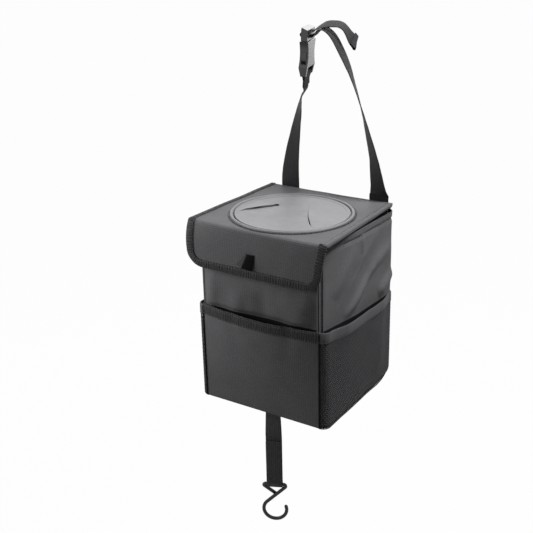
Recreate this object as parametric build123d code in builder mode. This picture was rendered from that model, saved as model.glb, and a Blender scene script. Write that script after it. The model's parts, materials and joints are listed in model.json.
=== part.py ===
from build123d import *
import math
import os

# Car trash bin that hangs behind a seat, in millimetres.
# The origin is the point where the strap loop hangs: x = 0 is the middle of the bin,
# y = 0 is the outer face of its back, and z = 0 is the underside of the strap loop.
# The front faces -Y and the bin hangs along -Z.

os.makedirs("parts", exist_ok=True)

# Fabric box
body_width = 170.0
body_depth = 164.0
body_height = 220.0
hang_drop = 414.0
corner_radius = 8.0
fabric = 1.2
board = 2.0
liner_skin = 0.8
board_top_margin = 3.0
bottom_board_corner = 18.0

# Lid, from its underside up: lining, board, outer fabric
lid_front_width = 180.0
lid_back_width = 170.0
lid_overhang = 2.5
body_gap = 0.3
lining = 0.8
tape = 0.8
binding_width = 9.5

# Rubber membrane in the lid
membrane_radius = 72.0
membrane_seat = 7.0
membrane_forward = 10.0
membrane_skin = 1.6
bead_width = 4.6
bead_height = 1.2
slit_width = 0.7
slit_hole_radius = 2.6

# Front flap
flap_height = 54.0
flap_bottom_width = 174.0
flap_lean = 4.0
flap_corner = 20.0
flap_fabric = 2.0
flap_tilt = 3.5
hook_tape = 2.6
loop_tape = 2.5
closure_width = 80.0
closure_height = 15.0
closure_drop = 27.0
tab_width = 13.0
tab_height = 19.0
tab_tape = 0.9
tab_gap = 2.6
tab_seat = 0.6

# Pockets
pocket_height = 122.0
pocket_bulge = 10.0
pocket_tape_height = 13.0
sewing_gap = 0.05
mesh_pocket_height = 121.0
mesh_skin = 0.8
mesh_bulge = 6.5
mesh_shoulder = 20.0
hem_height = 13.0
hem_skin = 1.5
mesh_pitch = 10.0
mesh_hole = 6.2
mesh_margin = 5.0

# Webbing
webbing = 25.0
webbing_thickness = 1.4
strap_seat_below_rim = 46.0
strap_free_above_rim = 8.0
left_anchor_inset = 26.0
right_anchor_inset = 20.7
stitch_back = 16.0

# Side-release buckle: the socket hangs below its mouth, the plug's head stands above it
buckle_x = -32.8
buckle_y = 1.0
buckle_mouth_z = -6.0
buckle_turn = 106.0
buckle_lean = 3.0
socket_width = 38.0
socket_thickness = 10.4
socket_body = 30.5
socket_length = 41.0
socket_wall = 2.2
socket_end_thickness = 6.5
socket_waist = 4.5
socket_foot_inset = 2.5
socket_lip = 1.5
window_top = 12.2
window_length = 14.5
web_bar_radius = 2.2
web_bar_drop = 38.0
web_clearance = 0.1
plug_head = 15.6
plug_head_width = 35.0
plug_thickness = 7.8
plug_clearance = 0.3
plug_corner = 3.0
plug_slope = 2.9
ladder_slot = 2.6
ladder_bar = 2.4
ladder_end_bar = 4.9
slot_side_room = 0.75
arm_width = 3.6
arm_root = 8.2
button_out = 15.4
tongue_width = 5.0
tongue_length = 17.0

# Bottom strap and bent-wire hook
bottom_webbing = 20.0
bottom_strap_from_front = 22.0
bottom_strap_seat = 30.0
strap_bend = 2.0
hook_drop = 113.5
hook_turn = 24.0
doubled_length = 62.0
wire = 4.4
wire_clearance = 0.08
eye_half_width = 16.9
eye_corner = 2.35
bowl_radius = 14.4
bowl_drop = 36.5
tip_above_bowl = 4.5

# Levels and planes that follow from the sizes above
floor_z = -hang_drop
rim_z = floor_z + body_height
front_y = -body_depth
side_x = body_width / 2
seam_x = side_x - corner_radius
left_anchor_x = -side_x + left_anchor_inset
right_anchor_x = side_x - right_anchor_inset
middle_y = front_y / 2
inner_width = body_width - 2 * fabric
inner_depth = body_depth - 2 * fabric - 2 * board
inner_corner = corner_radius - fabric
inner_floor_z = floor_z + fabric + board
lid_under_z = rim_z + body_gap + tape
lid_board_z = lid_under_z + lining
lid_fabric_z = lid_board_z + board
lid_top_z = lid_fabric_z + fabric
lid_crown_z = lid_top_z + tape
lid_front_y = front_y - lid_overhang
lid_back_y = -body_gap
membrane_y = middle_y - membrane_forward
hole_radius = membrane_radius - membrane_seat


# Box: four fabric walls, cut at the seams from one rounded ring that stands on the bottom panel
wall_z = floor_z + fabric
wall_height = body_height - fabric
wall_middle_z = wall_z + wall_height / 2

with BuildSketch(Plane.XY.offset(wall_z)) as wall_ring:
    with Locations((0, middle_y)):
        RectangleRounded(body_width, body_depth, corner_radius)
        RectangleRounded(inner_width, body_depth - 2 * fabric, inner_corner, mode=Mode.SUBTRACT)

with BuildPart() as front_panel:
    extrude(wall_ring.sketch, amount=wall_height)
    with Locations((0, front_y, wall_middle_z)):
        Box(2 * seam_x, 2 * corner_radius, wall_height, mode=Mode.INTERSECT)
front_panel.part.label = "front_panel"
export_step(front_panel.part, "parts/front_panel.step")

with BuildPart() as back_panel:
    extrude(wall_ring.sketch, amount=wall_height)
    with Locations((0, 0, wall_middle_z)):
        Box(2 * seam_x, 2 * corner_radius, wall_height, mode=Mode.INTERSECT)
back_panel.part.label = "back_panel"
export_step(back_panel.part, "parts/back_panel.step")

with BuildPart() as right_panel:
    extrude(wall_ring.sketch, amount=wall_height)
    with Locations((side_x, middle_y, wall_middle_z)):
        Box(2 * corner_radius, 2 * body_depth, wall_height, mode=Mode.INTERSECT)
right_panel.part.label = "right_panel"
export_step(right_panel.part, "parts/right_panel.step")

with BuildPart() as left_panel:
    extrude(wall_ring.sketch, amount=wall_height)
    with Locations((-side_x, middle_y, wall_middle_z)):
        Box(2 * corner_radius, 2 * body_depth, wall_height, mode=Mode.INTERSECT)
left_panel.part.label = "left_panel"
export_step(left_panel.part, "parts/left_panel.step")

with BuildPart() as bottom_panel:
    with BuildSketch(Plane.XY.offset(floor_z)):
        with Locations((0, middle_y)):
            RectangleRounded(body_width, body_depth, corner_radius)
    extrude(amount=fabric)
bottom_panel.part.label = "bottom_panel"
export_step(bottom_panel.part, "parts/bottom_panel.step")

# Stiffening boards behind the front and back fabric and on the bottom
board_height = wall_height - board_top_margin

with BuildPart() as front_board:
    with Locations((0, front_y + fabric, wall_z)):
        Box(2 * seam_x, board, board_height, align=(Align.CENTER, Align.MIN, Align.MIN))
front_board.part.label = "front_board"
export_step(front_board.part, "parts/front_board.step")

with BuildPart() as back_board:
    with Locations((0, -fabric, wall_z)):
        Box(2 * seam_x, board, board_height, align=(Align.CENTER, Align.MAX, Align.MIN))
back_board.part.label = "back_board"
export_step(back_board.part, "parts/back_board.step")

with BuildPart() as bottom_board:
    with BuildSketch(Plane.XY.offset(wall_z)):
        with Locations((0, middle_y)):
            RectangleRounded(inner_width, inner_depth, bottom_board_corner)
    extrude(amount=board)
bottom_board.part.label = "bottom_board"
export_step(bottom_board.part, "parts/bottom_board.step")

# Waterproof inner bag, open at the top
with BuildPart() as liner:
    with BuildSketch(Plane.XY.offset(inner_floor_z)):
        with Locations((0, middle_y)):
            RectangleRounded(inner_width, inner_depth, inner_corner)
    extrude(amount=rim_z - board_top_margin - inner_floor_z)
    bag_mouth = liner.faces().sort_by(Axis.Z)[-1]
    offset(amount=-liner_skin, openings=bag_mouth)
liner.part.label = "liner"
export_step(liner.part, "parts/liner.step")


def lid_outline(level_z, inset, hole=0.0):
    """Lid plan, wider at the front than at the hinge, with a round hole if one is given."""
    with BuildSketch(Plane.XY.offset(level_z)) as outline:
        with BuildLine():
            Polyline(
                (-lid_back_width / 2 + inset, lid_back_y),
                (-lid_front_width / 2 + inset, lid_front_y),
                (lid_front_width / 2 - inset, lid_front_y),
                (lid_back_width / 2 - inset, lid_back_y),
                close=True,
            )
        make_face()
        if hole:
            with Locations((0, membrane_y)):
                Circle(hole, mode=Mode.SUBTRACT)
    return outline.sketch


# Lid layers, each with the round hole that the membrane covers
with BuildPart() as lid_lining:
    extrude(lid_outline(lid_under_z, tape, hole_radius), amount=lining)
lid_lining.part.label = "lid_lining"
export_step(lid_lining.part, "parts/lid_lining.step")

with BuildPart() as lid_board:
    extrude(lid_outline(lid_board_z, tape, hole_radius), amount=board)
lid_board.part.label = "lid_board"
export_step(lid_board.part, "parts/lid_board.step")

with BuildPart() as lid_panel:
    extrude(lid_outline(lid_fabric_z, tape, hole_radius), amount=fabric)
lid_panel.part.label = "lid_panel"
export_step(lid_panel.part, "parts/lid_panel.step")

# Tape folded over both side edges of the lid
with BuildPart() as lid_binding:
    extrude(lid_outline(lid_under_z - tape, 0), amount=lid_crown_z - lid_under_z + tape)
    extrude(
        lid_outline(lid_under_z - tape, binding_width),
        amount=lid_crown_z - lid_under_z + tape,
        mode=Mode.SUBTRACT,
    )
    extrude(lid_outline(lid_under_z, tape), amount=lid_top_z - lid_under_z, mode=Mode.SUBTRACT)
lid_binding.part.label = "lid_binding"
export_step(lid_binding.part, "parts/lid_binding.step")

# Rubber disc with a raised bead, cut by two slits; the left one ends in a worn hole
left_slit = ((-56.0, -26.0), (-47.0, -5.0), (-34.4, 16.4))
right_slit = ((8.8, 22.8), (23.0, -2.5), (41.7, -29.4))
with BuildPart() as membrane:
    with BuildSketch(Plane.XZ.offset(-membrane_y)) as membrane_section:
        with BuildLine():
            Polyline(
                (0, lid_top_z),
                (membrane_radius, lid_top_z),
                (membrane_radius, lid_top_z + membrane_skin),
                (membrane_radius - bead_width / 4, lid_top_z + membrane_skin + bead_height),
                (membrane_radius - bead_width * 3 / 4, lid_top_z + membrane_skin + bead_height),
                (membrane_radius - bead_width, lid_top_z + membrane_skin),
                (0, lid_top_z + membrane_skin),
                close=True,
            )
        make_face()
    revolve(axis=Axis((0, membrane_y, 0), (0, 0, 1)))
    with BuildSketch(Plane((0, membrane_y, lid_top_z))):
        for start, bend, end in (left_slit, right_slit):
            with BuildLine():
                slit = ThreePointArc(start, bend, end)
            trace(slit, line_width=slit_width)
        with Locations(left_slit[2]):
            Circle(slit_hole_radius)
    extrude(amount=membrane_skin, mode=Mode.SUBTRACT)
membrane.part.label = "membrane"
export_step(membrane.part, "parts/membrane.step")

# Flap: hangs from the lid's front edge and leans out a little
tilt = math.radians(flap_tilt)
flap_stack = flap_fabric + 2 * tape
flap_plane = Plane(
    origin=(0, lid_front_y - body_gap, lid_top_z),
    x_dir=(1, 0, 0),
    z_dir=(0, -math.cos(tilt), math.sin(tilt)),
)


def flap_outline(depth, inset):
    """Flap face with round lower corners; the free edge hangs a little to the left."""
    top_half = lid_front_width / 2 - inset
    bottom_half = flap_bottom_width / 2 - inset
    with BuildSketch(flap_plane.offset(depth)) as outline:
        with BuildLine():
            Polyline(
                (-top_half, 0),
                (-bottom_half - flap_lean, -flap_height + inset),
                (bottom_half - flap_lean, -flap_height + inset),
                (top_half, 0),
                close=True,
            )
        make_face()
        fillet(outline.vertices().group_by(Axis.Y)[0], flap_corner - inset)
    return outline.sketch


with BuildPart() as flap_panel:
    extrude(flap_outline(tape, tape), amount=flap_fabric)
flap_panel.part.label = "flap_panel"
export_step(flap_panel.part, "parts/flap_panel.step")

# Tape folded over the flap's three free edges
with BuildPart() as flap_binding:
    extrude(flap_outline(0, 0), amount=flap_stack)
    extrude(flap_outline(tape, tape), amount=flap_fabric, mode=Mode.SUBTRACT)
    extrude(flap_outline(0, binding_width), amount=flap_stack, mode=Mode.SUBTRACT)
flap_binding.part.label = "flap_binding"
export_step(flap_binding.part, "parts/flap_binding.step")

# Hook-and-loop closure: hooks inside the flap, loops on the front panel
with BuildPart() as flap_hook_tape:
    with BuildSketch(flap_plane.offset(tape)):
        with Locations((0, -closure_drop)):
            Rectangle(closure_width, closure_height, align=(Align.CENTER, Align.MAX))
    extrude(amount=-hook_tape)
flap_hook_tape.part.label = "flap_hook_tape"
export_step(flap_hook_tape.part, "parts/flap_hook_tape.step")

closure_top_z = lid_top_z - closure_drop * math.cos(tilt)
with BuildPart() as front_loop_tape:
    with Locations((0, front_y, closure_top_z)):
        Box(closure_width, loop_tape, closure_height, align=(Align.CENTER, Align.MAX, Align.MAX))
front_loop_tape.part.label = "front_loop_tape"
export_step(front_loop_tape.part, "parts/front_loop_tape.step")

# Pull tab: a short tape folded into a loop, its ends sewn to the flap above the lower binding
tab_foot = -flap_height + binding_width + tab_seat
tab_middle_x = -flap_lean - tab_width / 2
tab_depth = 2 * tab_tape + tab_gap
tab_plane = Plane(
    origin=flap_plane.from_local_coords((tab_middle_x, tab_foot, tape + flap_fabric)),
    x_dir=flap_plane.z_dir,
    z_dir=flap_plane.x_dir,
)
with BuildPart() as pull_tab:
    with BuildSketch(tab_plane) as tab_section:
        with BuildLine():
            Polyline(
                (0, 0),
                (0, -tab_height + tab_depth / 2),
                (tab_depth, -tab_height + tab_depth / 2),
                (tab_depth, 0),
                close=True,
            )
        make_face()
        with Locations((tab_depth / 2, -tab_height + tab_depth / 2)):
            Circle(tab_depth / 2)
            Circle(tab_gap / 2, mode=Mode.SUBTRACT)
        with Locations((tab_depth / 2, -tab_height + tab_depth / 2)):
            Rectangle(
                tab_gap,
                tab_height - tab_depth / 2 - tab_tape,
                align=(Align.CENTER, Align.MIN),
                mode=Mode.SUBTRACT,
            )
    extrude(amount=tab_width)
pull_tab.part.label = "pull_tab"
export_step(pull_tab.part, "parts/pull_tab.step")


def pouch_section(level_z, bulge, inner, outer):
    """Plan section of the front pouch: two arcs that bow out between the seams."""
    with BuildSketch(Plane.XY.offset(level_z)) as section:
        with BuildLine():
            inside = ThreePointArc(
                (-seam_x, front_y - inner), (0, front_y - inner - bulge), (seam_x, front_y - inner)
            )
            outside = ThreePointArc(
                (-seam_x, front_y - outer), (0, front_y - outer - bulge), (seam_x, front_y - outer)
            )
            Line(inside @ 0, outside @ 0)
            Line(inside @ 1, outside @ 1)
        make_face()
    return section.sketch


pocket_top_z = floor_z + pocket_height
pocket_foot_z = floor_z + fabric
pocket_foot_bulge = 0.2
tape_foot_share = (pocket_height - fabric - pocket_tape_height) / (pocket_height - fabric)
tape_foot_bulge = pocket_foot_bulge + (pocket_bulge - pocket_foot_bulge) * tape_foot_share
pocket_skin = fabric

with BuildPart() as front_pocket:
    pouch_foot = pouch_section(pocket_foot_z, pocket_foot_bulge, 0, pocket_skin)
    pouch_mouth = pouch_section(pocket_top_z, pocket_bulge, 0, pocket_skin)
    loft([pouch_foot, pouch_mouth], ruled=True)
front_pocket.part.label = "front_pocket"
export_step(front_pocket.part, "parts/front_pocket.step")

# Tape over the pouch mouth: a band outside and a cap on the edge
tape_inner = pocket_skin + sewing_gap
tape_outer = pocket_skin + tape
with BuildPart() as front_pocket_binding:
    band_foot = pouch_section(pocket_top_z - pocket_tape_height, tape_foot_bulge, tape_inner, tape_outer)
    band_top = pouch_section(pocket_top_z, pocket_bulge, tape_inner, tape_outer)
    loft([band_foot, band_top], ruled=True)
    extrude(pouch_section(pocket_top_z, pocket_bulge, 0, tape_outer), amount=tape)
front_pocket_binding.part.label = "front_pocket_binding"
export_step(front_pocket_binding.part, "parts/front_pocket_binding.step")


def net_section(level_z, bulge, skin):
    """Plan section of the right mesh pocket: hugs both corners and stands off between them."""
    near_y = front_y + corner_radius
    far_y = -corner_radius
    diagonal = math.sqrt(0.5)
    outer_corner = corner_radius + skin
    with BuildSketch(Plane.XY.offset(level_z)) as section:
        with BuildLine():
            Line((seam_x, front_y), (seam_x, front_y - skin))
            ThreePointArc(
                (seam_x, front_y - skin),
                (seam_x + outer_corner * diagonal, near_y - outer_corner * diagonal),
                (side_x + skin, near_y),
            )
            Polyline(
                (side_x + skin, near_y),
                (side_x + skin + bulge, near_y + mesh_shoulder),
                (side_x + skin + bulge, far_y - mesh_shoulder),
                (side_x + skin, far_y),
            )
            ThreePointArc(
                (side_x + skin, far_y),
                (seam_x + outer_corner * diagonal, far_y + outer_corner * diagonal),
                (seam_x, skin),
            )
            Line((seam_x, skin), (seam_x, 0))
            ThreePointArc(
                (seam_x, 0),
                (seam_x + corner_radius * diagonal, far_y + corner_radius * diagonal),
                (side_x, far_y),
            )
            Polyline(
                (side_x, far_y),
                (side_x + bulge, far_y - mesh_shoulder),
                (side_x + bulge, near_y + mesh_shoulder),
                (side_x, near_y),
            )
            ThreePointArc(
                (side_x, near_y),
                (seam_x + corner_radius * diagonal, near_y - corner_radius * diagonal),
                (seam_x, front_y),
            )
        make_face()
    return section.sketch


mesh_foot_z = floor_z + fabric
mesh_foot_bulge = 0.2
mesh_top_z = floor_z + mesh_pocket_height
hem_foot_z = mesh_top_z - hem_height
mesh_rise = mesh_pocket_height - fabric
hem_foot_share = (mesh_rise - hem_height) / mesh_rise
hem_foot_bulge = mesh_foot_bulge + (mesh_bulge - mesh_foot_bulge) * hem_foot_share
net_lean = math.atan2(mesh_bulge - mesh_foot_bulge, mesh_rise)
net_width = body_depth - 2 * corner_radius - 2 * mesh_shoulder - 2 * mesh_margin
net_height = mesh_rise - hem_height - 2 * mesh_margin
net_columns = int(net_width // mesh_pitch)
net_rows = int(net_height // mesh_pitch)
net_middle_z = (mesh_foot_z + hem_foot_z) / 2
net_middle_x = side_x + (mesh_foot_bulge + hem_foot_bulge) / 2
net_plane = Plane(
    origin=(net_middle_x, middle_y, net_middle_z),
    x_dir=(0, 1, 0),
    z_dir=(math.cos(net_lean), 0, -math.sin(net_lean)),
)

# Mesh pockets: one wall of open net in each, under a plain elastic hem
with BuildPart() as right_mesh_pocket:
    net_foot = net_section(mesh_foot_z, mesh_foot_bulge, mesh_skin)
    net_head = net_section(hem_foot_z, hem_foot_bulge, mesh_skin)
    loft([net_foot, net_head], ruled=True)
    with BuildSketch(net_plane):
        with GridLocations(mesh_pitch, mesh_pitch, net_columns, net_rows):
            Rectangle(mesh_hole, mesh_hole, rotation=45)
    extrude(amount=2 * mesh_skin, both=True, mode=Mode.SUBTRACT)
right_mesh_pocket.part.label = "right_mesh_pocket"
export_step(right_mesh_pocket.part, "parts/right_mesh_pocket.step")

with BuildPart() as left_mesh_pocket:
    add(mirror(right_mesh_pocket.part, about=Plane.YZ, mode=Mode.PRIVATE))
left_mesh_pocket.part.label = "left_mesh_pocket"
export_step(left_mesh_pocket.part, "parts/left_mesh_pocket.step")

with BuildPart() as right_mesh_hem:
    hem_foot = net_section(hem_foot_z, hem_foot_bulge, hem_skin)
    hem_head = net_section(mesh_top_z, mesh_bulge, hem_skin)
    loft([hem_foot, hem_head], ruled=True)
right_mesh_hem.part.label = "right_mesh_hem"
export_step(right_mesh_hem.part, "parts/right_mesh_hem.step")

with BuildPart() as left_mesh_hem:
    add(mirror(right_mesh_hem.part, about=Plane.YZ, mode=Mode.PRIVATE))
left_mesh_hem.part.label = "left_mesh_hem"
export_step(left_mesh_hem.part, "parts/left_mesh_hem.step")

# Buckle frame: local X across the webbing, local Y up the buckle, local Z out of its broad face
turn = math.radians(buckle_turn)
lean = math.radians(buckle_lean)
across = Vector(math.cos(turn), math.sin(turn), 0)
upward = Vector(math.sin(lean), 0, math.cos(lean))
outward = across.cross(upward).normalized()
across = upward.cross(outward)
buckle_plane = Plane(origin=(buckle_x, buckle_y, buckle_mouth_z), x_dir=across, z_dir=outward)
buckle_side = Plane(origin=buckle_plane.origin, x_dir=outward, z_dir=-across)
cavity_width = socket_width - 2 * (socket_waist + plug_clearance)
cavity_thickness = socket_thickness - 2 * socket_wall
slot_width = webbing + 2 * slot_side_room
socket_foot_half = socket_width / 2 - socket_foot_inset

# Socket: a hollow moulding, open at the mouth and at both side windows, with a round web bar
with BuildPart() as buckle_socket:
    with BuildSketch(buckle_plane) as socket_face:
        with BuildLine():
            right_edge = Spline(
                (socket_width / 2, 0),
                (socket_width / 2 - socket_waist, -window_top - window_length / 2),
                (socket_width / 2, -socket_body),
            )
            Polyline(
                right_edge @ 1,
                (socket_foot_half, -socket_length),
                (-socket_foot_half, -socket_length),
                (-socket_width / 2, -socket_body),
            )
            left_edge = Spline(
                (-socket_width / 2, -socket_body),
                (-socket_width / 2 + socket_waist, -window_top - window_length / 2),
                (-socket_width / 2, 0),
            )
            Line(left_edge @ 1, right_edge @ 0)
        make_face()
    extrude(amount=socket_thickness / 2, both=True)
    with BuildSketch(buckle_side) as socket_profile:
        with BuildLine():
            Polyline(
                (-socket_thickness / 2, 0),
                (socket_thickness / 2, 0),
                (socket_thickness / 2, -socket_body),
                (socket_end_thickness / 2, -socket_length),
                (-socket_end_thickness / 2, -socket_length),
                (-socket_thickness / 2, -socket_body),
                close=True,
            )
        make_face()
        fillet(socket_profile.vertices().group_by(Axis.Y)[-1], socket_lip)
    extrude(amount=socket_width, both=True, mode=Mode.INTERSECT)
    with BuildSketch(buckle_plane):
        Rectangle(cavity_width, socket_body - socket_wall, align=(Align.CENTER, Align.MAX))
    extrude(amount=cavity_thickness / 2, both=True, mode=Mode.SUBTRACT)
    with BuildSketch(buckle_plane):
        with Locations((0, -window_top)):
            Rectangle(2 * socket_width, window_length, align=(Align.CENTER, Align.MAX))
    extrude(amount=cavity_thickness / 2, both=True, mode=Mode.SUBTRACT)
    with BuildSketch(buckle_plane):
        with Locations((0, -socket_body)):
            Rectangle(slot_width, 2 * socket_length, align=(Align.CENTER, Align.MAX))
    extrude(amount=socket_thickness, both=True, mode=Mode.SUBTRACT)
    with BuildSketch(buckle_side):
        with Locations((0, -web_bar_drop)):
            Circle(web_bar_radius)
    extrude(amount=socket_foot_half, both=True)
buckle_socket.part.label = "buckle_socket"
export_step(buckle_socket.part, "parts/buckle_socket.step")

# Plug: ladder head above the mouth, two sprung arms with thumb buttons and a guide tongue below it
upper_slot_y = plug_head - ladder_end_bar - ladder_slot / 2
lower_slot_y = upper_slot_y - ladder_bar - ladder_slot
arm_thickness = cavity_thickness - 2 * plug_clearance
arm_outer = cavity_width / 2 - plug_clearance
latch_y = -window_top - plug_clearance
button_foot_y = -window_top - window_length + 2 * plug_clearance
with BuildPart() as buckle_plug:
    with BuildSketch(buckle_plane) as plug_face:
        with Locations((0, plug_clearance)):
            Rectangle(plug_head_width, plug_head - plug_clearance, align=(Align.CENTER, Align.MIN))
        fillet(plug_face.vertices().group_by(Axis.Y)[-1], plug_corner)
    extrude(amount=plug_thickness / 2, both=True)
    with BuildSketch(buckle_side):
        with BuildLine():
            Polyline(
                (-plug_thickness / 2, plug_head),
                (plug_thickness / 2, plug_head - plug_slope),
                (plug_thickness / 2, plug_head + plug_slope),
                (-plug_thickness / 2, plug_head + plug_slope),
                close=True,
            )
        make_face()
    extrude(amount=plug_head_width, both=True, mode=Mode.SUBTRACT)
    with BuildSketch(buckle_plane):
        with Locations((0, upper_slot_y), (0, lower_slot_y)):
            Rectangle(slot_width, ladder_slot)
    extrude(amount=plug_thickness, both=True, mode=Mode.SUBTRACT)
    with BuildSketch(buckle_plane) as plug_arm:
        with BuildLine():
            Polyline(
                (arm_root, 1),
                (arm_root + arm_width, 1),
                (arm_outer, latch_y),
                (button_out - 1, latch_y),
            )
            ThreePointArc(
                (button_out - 1, latch_y),
                (button_out, (latch_y + button_foot_y) / 2 + 1),
                (arm_outer - 1, button_foot_y),
            )
            Line((arm_outer - 1, button_foot_y), (arm_outer - arm_width, button_foot_y))
            Line((arm_outer - arm_width, button_foot_y), (arm_root, 1))
        make_face()
        mirror(about=Plane.YZ)
        with Locations((0, 1)):
            Rectangle(tongue_width, tongue_length + 1, align=(Align.CENTER, Align.MAX))
    extrude(amount=arm_thickness / 2, both=True)
buckle_plug.part.label = "buckle_plug"
export_step(buckle_plug.part, "parts/buckle_plug.step")


strap_y = webbing_thickness / 2
strap_start_z = rim_z + strap_free_above_rim


def webbing_plane(route, index):
    """Plane across a strap at one station; each station holds a centre and a width direction."""
    before = Vector(*route[max(index - 1, 0)][0])
    after = Vector(*route[min(index + 1, len(route) - 1)][0])
    along = (after - before).normalized()
    width = Vector(*route[index][1])
    width = (width - along * width.dot(along)).normalized()
    return Plane(origin=route[index][0], x_dir=width, z_dir=along)


def webbing_sections(route, width):
    """Flat strap sections at the stations of a route, to loft through."""
    sections = []
    for index in range(len(route)):
        with BuildSketch(webbing_plane(route, index)) as section:
            Rectangle(width, webbing_thickness)
        sections.append(section.sketch)
    return sections


def heading(degrees):
    """Level direction across the strap, turned about the vertical."""
    return (math.cos(math.radians(degrees)), math.sin(math.radians(degrees)), 0)


def sewn_stations(anchor_x, degrees):
    """Flat end of a hanging strap, sewn to the back from below the rim to just above the lid."""
    return [
        ((anchor_x, strap_y, rim_z - strap_seat_below_rim), heading(degrees)),
        ((anchor_x, strap_y, strap_start_z), heading(degrees)),
    ]


def web_loop(plane, bar_radius, run):
    """Section of webbing doubled round a bar: the bar is at the plane's origin and the run goes down."""
    outer = bar_radius + webbing_thickness
    neck = 2.6 * outer
    with BuildSketch(plane) as section:
        with BuildLine():
            bend = CenterArc((0, 0), outer, 0, 180)
            Line(bend @ 1, (-webbing_thickness, -neck))
            Line((-webbing_thickness, -neck), (-webbing_thickness, -run))
            Line((-webbing_thickness, -run), (webbing_thickness, -run))
            Line((webbing_thickness, -run), (webbing_thickness, -neck))
            Line((webbing_thickness, -neck), bend @ 0)
        make_face()
        Circle(bar_radius, mode=Mode.SUBTRACT)
    return section.sketch


# Left strap: sewn flat on the back, turns edge-on as it rises, doubled round the socket's web bar
bar_centre = buckle_plane.from_local_coords((0, -web_bar_drop, 0))
loop_foot = buckle_plane.from_local_coords((0, -web_bar_drop - stitch_back, 0))
left_route = sewn_stations(left_anchor_x, 0) + [
    ((left_anchor_x + 0.4, strap_y, -170), heading(-5)),
    ((left_anchor_x + 1.7, strap_y, -157), heading(-12.5)),
    ((left_anchor_x + 2.8, strap_y, -149), heading(-17)),
    ((left_anchor_x + 4, strap_y, -141), heading(-21)),
    ((left_anchor_x + 5.2, strap_y, -134), heading(-25)),
    ((left_anchor_x + 6.8, strap_y, -126), heading(-29.5)),
    ((left_anchor_x + 8.2, strap_y, -118), heading(-33)),
    ((left_anchor_x + 9.7, strap_y, -110.5), heading(-37)),
    ((left_anchor_x + 11.2, strap_y, -103), heading(-41)),
    ((left_anchor_x + 12.9, strap_y, -95.5), heading(-44.5)),
    ((left_anchor_x + 14.4, strap_y, -88), heading(-49)),
    ((left_anchor_x + 15.9, strap_y, -80.5), heading(-55)),
    ((left_anchor_x + 17.6, strap_y, -73), heading(-60.5)),
    (tuple(loop_foot - upward * 5), heading(buckle_turn - 175)),
    (tuple(loop_foot), heading(buckle_turn - 180)),
]
left_loop_plane = Plane(origin=bar_centre, x_dir=outward, z_dir=-across)
with BuildPart() as left_strap:
    loft(webbing_sections(left_route, webbing), ruled=True)
    extrude(
        web_loop(left_loop_plane, web_bar_radius + web_clearance, stitch_back),
        amount=webbing / 2,
        both=True,
    )
left_strap.part.label = "left_strap"
export_step(left_strap.part, "parts/left_strap.step")

# Right strap's sewn end, which stays on the bin when the plug is pulled out
with BuildPart() as right_strap_foot:
    loft(webbing_sections(sewn_stations(right_anchor_x, 180), webbing), ruled=True)
right_strap_foot.part.label = "right_strap_foot"
export_step(right_strap_foot.part, "parts/right_strap_foot.step")

# Right strap from there on: rises to the plug, turns round the ladder bar and ends in a free tail
bar_back = -plug_thickness / 2
bar_y = (upper_slot_y + lower_slot_y) / 2
turn_radius = (upper_slot_y - lower_slot_y) / 2
turn_steps = 8
exit_reach = plug_thickness / 2 + 1.5


def at_plug(height, reach):
    """Strap station at the plug: height up the buckle and reach out of its broad face."""
    centre = buckle_plane.from_local_coords((0, height, reach))
    return (tuple(centre), tuple(across))


rising_route = [
    ((right_anchor_x, strap_y, strap_start_z + sewing_gap), heading(180)),
    ((right_anchor_x, strap_y, strap_start_z + webbing_thickness), heading(180)),
    ((right_anchor_x - 1, strap_y, -179), heading(166)),
    ((right_anchor_x - 2.1, strap_y, -171.6), heading(157.5)),
    ((right_anchor_x - 3.4, strap_y, -164.4), heading(153.5)),
    ((right_anchor_x - 4.6, strap_y, -157.3), heading(150)),
    ((right_anchor_x - 5.9, strap_y, -150), heading(146)),
    ((right_anchor_x - 7.1, strap_y, -143), heading(142.5)),
    ((right_anchor_x - 8.9, strap_y, -136), heading(139.5)),
    ((right_anchor_x - 10.7, strap_y, -129), heading(137.5)),
    ((right_anchor_x - 12.7, strap_y, -122), heading(135.5)),
    ((right_anchor_x - 14.8, strap_y, -115), heading(133)),
    ((right_anchor_x - 16.8, strap_y, -108), heading(130.5)),
    ((right_anchor_x - 18.8, strap_y, -101), heading(128.5)),
    ((right_anchor_x - 20.8, strap_y, -94.3), heading(125.5)),
    ((41.2, 0.9, -87.4), heading(124)),
    ((38.9, 0.9, -80.6), heading(121.5)),
    ((36.6, 0.9, -73.8), heading(119)),
    ((34.3, 0.9, -67), heading(117.5)),
    ((31.8, 0.9, -60.2), heading(116)),
    ((29.2, 0.9, -53.5), heading(114.5)),
    ((26.6, 0.9, -46.8), heading(112)),
    ((23.9, 0.9, -40), heading(109.5)),
    ((20.8, 0.9, -33.4), heading(106.5)),
    ((17.5, 0.9, -26.7), heading(104.5)),
    ((13.9, 0.9, -20.1), heading(103)),
    ((8.8, 1.2, -11.5), heading(102.5)),
    ((4.2, 1.6, -4.6), heading(102.5)),
    ((-0.9, 2, 1.2), heading(103)),
    ((-7.1, 2.4, 5.4), heading(104)),
    ((-13.6, 2.8, 6.7), heading(105)),
    ((-19.3, 3.4, 3.8), heading(106)),
    at_plug(lower_slot_y + 0.6, exit_reach + 2.6),
]
ladder_turn = [
    at_plug(
        bar_y - turn_radius * math.cos(math.pi * step / turn_steps),
        bar_back - turn_radius * math.sin(math.pi * step / turn_steps),
    )
    for step in range(turn_steps + 1)
]
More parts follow.
